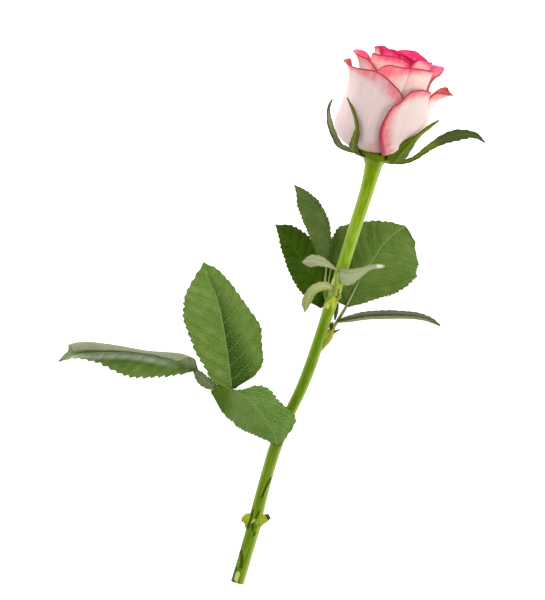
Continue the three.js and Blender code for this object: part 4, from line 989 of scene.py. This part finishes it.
# %% Make the calyx
collar_line = [in_bloom(0.0, 0.0, h) for h in (-1.2, 0.1, 1.5, 2.9)]
calyx = [stalk("collar", collar_line, [4.4, 6.6, 8.4, 9.0, 8.9, 8.4, 7.4], SEPAL_COLLAR, sides=48, rings=12,
               relief=lambda turn, along: 0.25 * np.sin(5 * turn + 0.6))]
SEPALS = [
    {"path": [[6, -100, -0.4], [12.2, -100, -0.4], [16.4, -100, 0.6], [20, -100, 3.8], [23, -100, 7.7],
              [25.2, -100, 11.9], [26.2, -100, 15.8], [25.6, -98, 19.4]], "face": [0.5, -0.2, 1],
     "outline": [3, 3, 2.8, 2.3, 1.9, 1.7, 1.5, 1, 0.6, 0.3]},
    {"path": [[6, -52, -0.7], [9.8, -60, -0.1], [13.8, -48, 3], [19.4, -33, 6.9], [21.8, -30, 11],
              [22.4, -34, 15], [22.4, -43, 18.7], [22.6, -58, 23]],
     "outline": [3.4, 3.4, 2.5, 1.9, 1.9, 1.9, 1.7, 1.5, 1.2, 0.6, 0.2],
     "skins": (SEPAL_LINING, SEPAL_OLIVE)},
    {"path": [[6, 62, 0.2], [10, 64, 0.9], [14.6, 50, 5.9], [19.2, 43, 10.4], [21.4, 45, 14.4],
              [21.9, 51, 17.4], [23.4, 58, 21.2], [25.8, 64, 25.3]], "fold": (10, 4), "curl": (5, 0),
     "face": [-0.5, 0, -1], "outline": [4.8, 5, 5, 5, 4.8, 4.3, 3.5, 2.3, 1.2, 1, 1, 0.7, 0.2]},
    {"skins": (SEPAL_LONG, SEPAL_BACK), "path": [
        [6, 104, 0.2], [9, 104, 0.5], [14.3, 102, 2.0], [18.2, 100, 4.9], [21.8, 100, 9.6], [26.2, 100, 14.6],
        [30.5, 100, 18.2], [36.5, 100, 21.2], [41.8, 100, 22.2], [47, 100, 20.4]], "teeth": 12, "tooth": 0.6,
     "outline": [1.3, 1.2, 1.1, 1.2, 1.4, 1.7, 2.2, 2.7, 2.8, 2.2, 1.4, 0.2], "face": [-0.3, -0.6, 1],
     "base_face": [-0.4, 0.1, 1]},
    {"path": [[6, 176, 0.2], [9, 172, 0.7], [13.4, 160, 3.2], [18, 150, 7], [21, 146, 12], [22, 144, 17],
              [22.6, 142, 22]], "outline": [3, 3, 2.8, 2.4, 2, 1.5, 0.8, 0.2]},
]
for k, shape in enumerate(SEPALS):
    rib = np.array([in_bloom(float(r), float(a), float(h)) for r, a, h in shape["path"]])
    inward = unit(in_bloom(0.0, 0.0, 22.0) - rib[-1])
    calyx.append(leaflet(
        f"sepal_{k}", rib, [shape.get("base_face", BLOOM_AXIS), shape.get("face", inward)],
        fold=shape.get("fold", (4, 4)), curl=shape.get("curl", (0, 0)), teeth=shape.get("teeth", 7),
        tooth=shape.get("tooth", 0.3), outline=[shape["outline"]] * 2, rows=90, columns=20, thickness=0.45,
        spacing=4, bulge=0.08, wave=0.12, groove=0.25, seed=30 + k,
        skins=shape.get("skins", (SEPAL_LINING, SEPAL_BACK))))
settle(joined("fine_calyx", calyx), "calyx")

# %% [markdown]
# ## The stem
# A thornless green shoot: fibres under a waxy bark, a cut end with pale pith, a node near it where a leaf
# was stripped, a swollen node two thirds of the way up and a hip under the petals. Its colour changes along
# its length, so the bark's material takes the place along the stem from Object coordinates.

# %% Stem bark
BARK_LENGTH = 205.0  # mm from the cut end, over which the bark's tones are spread


def stem_bark():
    """Green bark whose tone follows the stem, with its scars from the measures on the mesh."""
    material, tree = new_material("rose_stem_bark")
    place = add(tree, "ShaderNodeTexCoord", out="Object")
    apart = tree.nodes.new("ShaderNodeSeparateXYZ")
    tree.links.new(place, apart.inputs[0])
    along = add(tree, "ShaderNodeMath", {0: apart.outputs["Y"], 1: 1 / MM, 2: float(MIDDLE[1])},
                operation="MULTIPLY_ADD")
    run = add(tree, "ShaderNodeVectorMath", {0: place, 1: (1500, 45, 1500)}, operation="MULTIPLY")
    fibres = add(tree, "ShaderNodeTexNoise", {"Vector": run, "Scale": 1.0, "Detail": 4.0, "Roughness": 0.6})
    patches = add(tree, "ShaderNodeVectorMath", {0: place, 1: (180, 60, 180)}, operation="MULTIPLY")
    patches = add(tree, "ShaderNodeTexNoise", {"Vector": patches, "Scale": 1.0, "Detail": 2.0})
    # Dark below the middle node, a brighter green above it, and dark again under the petals.
    length = add(tree, "ShaderNodeMapRange", {"Value": along, "From Max": BARK_LENGTH})
    tone = tree.nodes.new("ShaderNodeValToRGB")
    tree.links.new(length, tone.inputs[0])
    stops = [(0.0, "#60800a"), (0.2, "#5f8006"), (0.42, "#547802"), (0.6, "#608404"), (0.68, "#8aaa1c"),
             (0.8, "#86a80e"), (0.95, "#779400"), (0.985, "#5c7c08")]
    tone.color_ramp.elements[0].position, tone.color_ramp.elements[0].color = stops[0][0], linear(stops[0][1])
    tone.color_ramp.elements[1].position, tone.color_ramp.elements[1].color = stops[1][0], linear(stops[1][1])
    for position, colour in stops[2:]:
        tone.color_ramp.elements.new(position).color = linear(colour)
    darker = add(tree, "ShaderNodeMapRange", {"Value": fibres, "From Min": 0.45, "From Max": 0.7,
                                              "To Max": 0.7})
    colour = add(tree, "ShaderNodeMix", {0: darker, 6: tone.outputs[0], 7: linear("#4a6600")}, out=2,
                 data_type="RGBA")
    paler = add(tree, "ShaderNodeMapRange", {"Value": fibres, "From Min": 0.48, "From Max": 0.3,
                                             "To Max": 0.3})
    colour = add(tree, "ShaderNodeMix", {0: paler, 6: colour, 7: linear("#a4b84e")}, out=2, data_type="RGBA")
    waxy = add(tree, "ShaderNodeMapRange", {"Value": patches, "From Min": 0.5, "From Max": 0.75,
                                            "To Max": 0.1})
    colour = add(tree, "ShaderNodeMix", {0: waxy, 6: colour, 7: linear("#a9bd62")}, out=2, data_type="RGBA")
    # Painted highlight: the flanks are painted paler than the upper side, for the tent's bright light along
    # the stem's edges.
    painted_edge_light = add(tree, "ShaderNodeAttribute", attribute_name="painted_edge_light", out="Fac")
    painted_edge_light = add(tree, "ShaderNodeMath", {0: painted_edge_light, 1: 0.62}, operation="MULTIPLY")
    colour = add(tree, "ShaderNodeMix", {0: painted_edge_light, 6: colour, 7: linear("#b8c86a")}, out=2, data_type="RGBA")
    # Scars and wax, kept on the mesh as shares from 0 to 1; noise frays their edges.
    for mark, paint in (("pale_mark", "#c0c672"), ("yellow_mark", "#b5b636"), ("olive_mark", "#a0a010"),
                        ("dark_mark", "#3a5000"), ("brown_mark", "#3e3a10")):
        share = add(tree, "ShaderNodeAttribute", attribute_name=mark, out="Fac")
        frayed = add(tree, "ShaderNodeMath", {0: patches, 1: 0.5, 2: share}, operation="MULTIPLY_ADD")
        frayed = add(tree, "ShaderNodeMapRange", {"Value": frayed, "From Min": 0.55, "From Max": 0.85},
                     interpolation_type="SMOOTHSTEP")
        colour = add(tree, "ShaderNodeMix", {0: frayed, 6: colour, 7: linear(paint)}, out=2, data_type="RGBA")
    relief = add(tree, "ShaderNodeBump", {"Height": fibres, "Strength": 0.3, "Distance": 0.0002},
                 out="Normal")
    shader = add(tree, "ShaderNodeBsdfPrincipled", {
        "Base Color": colour, "Roughness": 0.4, "IOR": 1.45, "Specular IOR Level": 0.08,
        "Sheen Weight": 0.4, "Sheen Roughness": 0.4, "Sheen Tint": (0.9, 1.0, 0.4, 1.0), "Normal": relief})
    add(tree, "ShaderNodeOutputMaterial", {"Surface": shader})
    return material


STEM_BARK = stem_bark()
PITH = bark("cut_pith", "#c9c79a", "#a9ac6c", 0.7)

# %% Make the stem
STEM = [[-0.4, -0.8, 2.95], [-0.7, 14, 2.95], [-1.0, 26, 3.1], [-1.6, 34, 2.9], [-2.3, 48, 2.75],
        [-2.5, 62, 2.85], [-1.85, 71, 2.7], [-0.8, 81, 2.5], [0.65, 91, 2.6], [1.5, 102, 2.7],
        [1.75, 114, 2.6], [1.85, 126, 2.6], [1.9, 136, 2.85], [2.0, 146, 2.75], [2.0, 160, 2.8],
        [2.0, 174, 2.95], [2.05, 184, 3.1], [1.8, 192, 3.4], [1.4, 198, 3.9]]
stem_line = [[x, y, stem_height(y)] for x, y, _ in STEM]


def stem_relief(turn, along):
    """Swellings at the nodes and faint lengthwise ridges."""
    ring = 0.35 * np.exp(-(((along - 131.5) / 1.1) ** 2)) + 0.25 * np.exp(-(((along - 139.5) / 1.6) ** 2))
    ring = ring + 0.3 * np.exp(-(((along - 29 - 1.6 * np.cos(turn)) / 1.0) ** 2))
    return ring + 0.05 * np.sin(7 * turn + 0.03 * along) + 0.03 * np.sin(12 * turn + 1.3)


def spot(points, places, width):
    """1 on a line through places as seen from above, falling to 0 at a width in mm."""
    line = smooth_line([[x, y, 0] for x, y in places], np.linspace(0, 1, 30))[0]
    apart = np.linalg.norm(points[:, None, :2] - line[None, :, :2], axis=2).min(1)
    upper = points[:, 2] > stem_height(points[:, 1]) - 0.8
    return np.where(upper, 1 - ramp(apart, 0.4 * width, width), 0)


# For each mark its lines: how strong, how wide in mm, and the places that the line runs through.
STEM_MARKS = {
    "pale_mark": [
        (1, 1.3, [[-1.3, -0.6], [-1.4, 1.5], [-1.4, 3.8]]), (0.8, 0.7, [[-2.3, 27], [-1.7, 28.6], [0.2, 30]]),
        (1, 0.5, [[-0.2, 130.6], [0.6, 131.2], [1.4, 130.6]]), (1, 0.9, [[0.8, 133.2], [2, 134.6]]),
        (1, 1.4, [[0.2, 137], [0.2, 143]])],
    "yellow_mark": [
        (1, 1.0, [[3.2, 131.4], [2.6, 134.4], [3.6, 136.4], [4.6, 135.4]]),
        (1, 0.8, [[0.9, 132.4], [1.8, 134.4]]), (1, 1.1, [[3, 141], [3.4, 144]])],
    "olive_mark": [
        (1, 2.1, [[-6.3, 28.0], [-4.9, 28.6]]), (1, 1.3, [[0.9, 32], [1.6, 30.6], [2.6, 30.2]]),
        (1, 0.8, [[0, 27.6], [0.3, 28.4]])],
    "brown_mark": [
        (1, 0.9, [[2.5, 140], [3.1, 138], [3.5, 136.6]]), (1, 0.65, [[-0.3, 49], [-1, 44.5], [-1.6, 39.8]]),
        (1, 0.8, [[-2.2, 38.9], [-1.2, 39.4]]), (1, 1.5, [[2.8, 33.4], [3.6, 32.6], [4.6, 31.6]]),
        (1, 0.9, [[-7.6, 26.8], [-6.8, 26.2]]), (1, 0.6, [[-3.4, -0.8], [-1.6, -0.7], [0, -0.5]])],
    "dark_mark": [
        (1, 0.6, [[0.2, 24], [0.3, 21.4]]), (1, 0.7, [[-1.6, 26.6], [-1.3, 24.6]]),
        (1, 0.9, [[-3.2, 13.4], [-1.5, 9.6], [-1, 6.2]]), (1, 0.7, [[-3.1, 0], [-2.9, 5]]),
        (1, 0.8, [[-3.4, 24], [-3.3, 29], [-3.5, 33]]), (1, 0.7, [[-1.4, 29.6], [-0.8, 32.6]])],
}


def stem_marks(points):
    """Where the bark is scarred or waxy, and where its flanks are painted paler as a highlight."""
    middle, width = (np.interp(points[:, 1], [p[1] for p in STEM], [p[k] for p in STEM]) for k in (0, 2))
    aside = (points[:, 0] - middle) / width
    # Painted highlight on the flanks: the right one more, and more towards the bloom; the left one less, and
    # not near the cut end.
    right = ramp(aside, 0.3, 0.95) * (0.65 + 0.35 * ramp(points[:, 1], 60, 140))
    left = 0.6 * ramp(-aside, 0.4, 0.95) * ramp(points[:, 1], 12, 45)
    marks = {"painted_edge_light": np.maximum(right, left)}
    for mark, lines in STEM_MARKS.items():
        marks[mark] = np.maximum.reduce([strong * spot(points, places, wide)
                                         for strong, wide, places in lines])
    return marks


z = stem_height(28)
z_node = stem_height(136)
stem = [
    stalk("stem_shaft", stem_line, np.interp(np.linspace(-0.8, 198, 60), [p[1] for p in STEM],
                                             [p[2] for p in STEM]),
          STEM_BARK, sides=40, rings=400, relief=stem_relief, marks=stem_marks, cut=PITH),
    stalk("hip", [in_bloom(0.0, 0.0, h) + [aside, 0, 0]
                  for h, aside in ((-3.6, 0.7), (0, 0.5), (4, 0), (8, 0))],
          [3.9, 4.6, 5.5, 6.0, 6.1, 5.7, 4.7, 3.8, 3.3], STEM_BARK, sides=36, rings=24, marks=stem_marks),
    stalk("left_stub", [[-2.6, 27.4, z], [-5, 27.9, z + 0.3], [-7.3, 27.3, z + 0.4]], [3.7, 3.4, 2.3, 0.9],
          STEM_BARK, sides=20, rings=16, marks=stem_marks),
    stalk("right_stub", [[0.4, 28.4, z + 0.4], [2.4, 30.4, z + 0.6], [4.5, 32.4, z + 0.6]],
          [2.6, 2.1, 1.8, 1.2], STEM_BARK, sides=20, rings=16, marks=stem_marks),
    stalk("node_bud", [[2.6, 139.2, z_node + 1.5], [4.3, 136.7, z_node + 1.2], [3.0, 133.4, z_node + 1.7]],
          [0.5, 1.25, 1.1, 0.4], BUD_SCALE, rings=16),
    stalk("ridge", [[-3.4, 25.8, z + 1.0], [-1.1, 27.3, z + 2.5], [1.4, 29.8, z + 2.2], [3, 32, z + 1.8]],
          [0.5, 0.8, 0.8, 0.6], STEM_BARK, rings=20, marks=stem_marks),
]
settle(joined("fine_stem", stem), "stem")

# %% [markdown]
# ## The table and the light
# The rose lies on a white table in a light tent. The tent is bright round the sides and darker overhead,
# where the camera looks in: curved green skins then stay deep in the middle and pale along their edges.

# %% Floor
bpy.ops.object.select_all(action="DESELECT")
bpy.ops.mesh.primitive_plane_add(size=4, location=(0, 0, 0))
floor = bpy.context.object
floor.name = "table_top"
table_white, tree = new_material("matt_white_table")
cloud = add(tree, "ShaderNodeTexNoise", {
    "Vector": add(tree, "ShaderNodeTexCoord", out="Object"), "Scale": 40.0})
white = add(tree, "ShaderNodeMapRange", {"Value": cloud, "To Min": 0.0, "To Max": 0.04})
white = add(tree, "ShaderNodeMix", {0: white, 6: linear("#fdfdfd"), 7: linear("#f2f2f2")}, out=2,
            data_type="RGBA")
shader = add(tree, "ShaderNodeBsdfPrincipled", {
    "Base Color": white, "Roughness": 0.9, "Specular IOR Level": 0.1,
    "Emission Color": (1, 1, 1, 1), "Emission Strength": 0.7})
add(tree, "ShaderNodeOutputMaterial", {"Surface": shader})
floor.data.materials.append(table_white)

# %% Light tent
world = bpy.data.worlds.new("light_tent")
bpy.context.scene.world = world
world.use_nodes = True
tree = world.node_tree
tree.nodes.clear()
way = add(tree, "ShaderNodeSeparateXYZ", {0: add(tree, "ShaderNodeTexCoord", out="Generated")}, out="Z")
level = add(tree, "ShaderNodeMapRange", {"Value": way, "From Min": 0.3, "From Max": 0.85, "To Min": 0.85,
                                         "To Max": 0.1}, interpolation_type="SMOOTHSTEP")
sky = add(tree, "ShaderNodeBackground", {"Color": (1, 1, 1, 1), "Strength": level})
add(tree, "ShaderNodeOutputWorld", {"Surface": sky})

# Name, place and size in metres, and power in watts.
SOFTBOXES = [("left_softbox", (-0.8, 0.35, 0.9), 0.7, 7.5), ("right_softbox", (0.9, 0.1, 0.8), 0.6, 7.5),
             ("far_softbox", (0.1, 1.0, 0.8), 0.6, 3.0)]
for name, place, size, power in SOFTBOXES:
    lamp = bpy.data.lights.new(name, "AREA")
    lamp.shape = "SQUARE"
    lamp.size = size
    lamp.energy = power
    box = bpy.data.objects.new(name, lamp)
    box.location = place
    box.rotation_euler = (Vector(place) * -1).to_track_quat("-Z", "Y").to_euler()
    bpy.context.scene.collection.objects.link(box)

# %% [markdown]
# ## The camera
# It looks straight down from far off through a long lens, turned so that the stem leans to the right.

# %% Camera
CAMERA_HEIGHT = 2.4  # metres
CAMERA_PLACE = (0.0039, 0.00005)  # metres from the origin, over the middle of the view
CAMERA_TURN = 17.5  # degrees
SENSOR_HEIGHT = 24  # mm
VIEW_HEIGHT = 0.270  # metres of table from the bottom of the frame to its top
RISE = 0.018  # metres, the height of the bloom's axis, where the scale is set
lens = bpy.data.cameras.new("long_lens")
lens.sensor_fit = "VERTICAL"
lens.sensor_height = SENSOR_HEIGHT
lens.lens = SENSOR_HEIGHT * (CAMERA_HEIGHT - RISE) / VIEW_HEIGHT
lens.clip_end = 20
camera = bpy.data.objects.new("camera", lens)
camera.location = (*CAMERA_PLACE, CAMERA_HEIGHT)
camera.rotation_euler = (0, 0, math.radians(CAMERA_TURN))
bpy.context.scene.collection.objects.link(camera)
bpy.context.scene.camera = camera
bpy.context.scene.view_settings.view_transform = "Standard"
print("lens:", round(lens.lens), "mm")
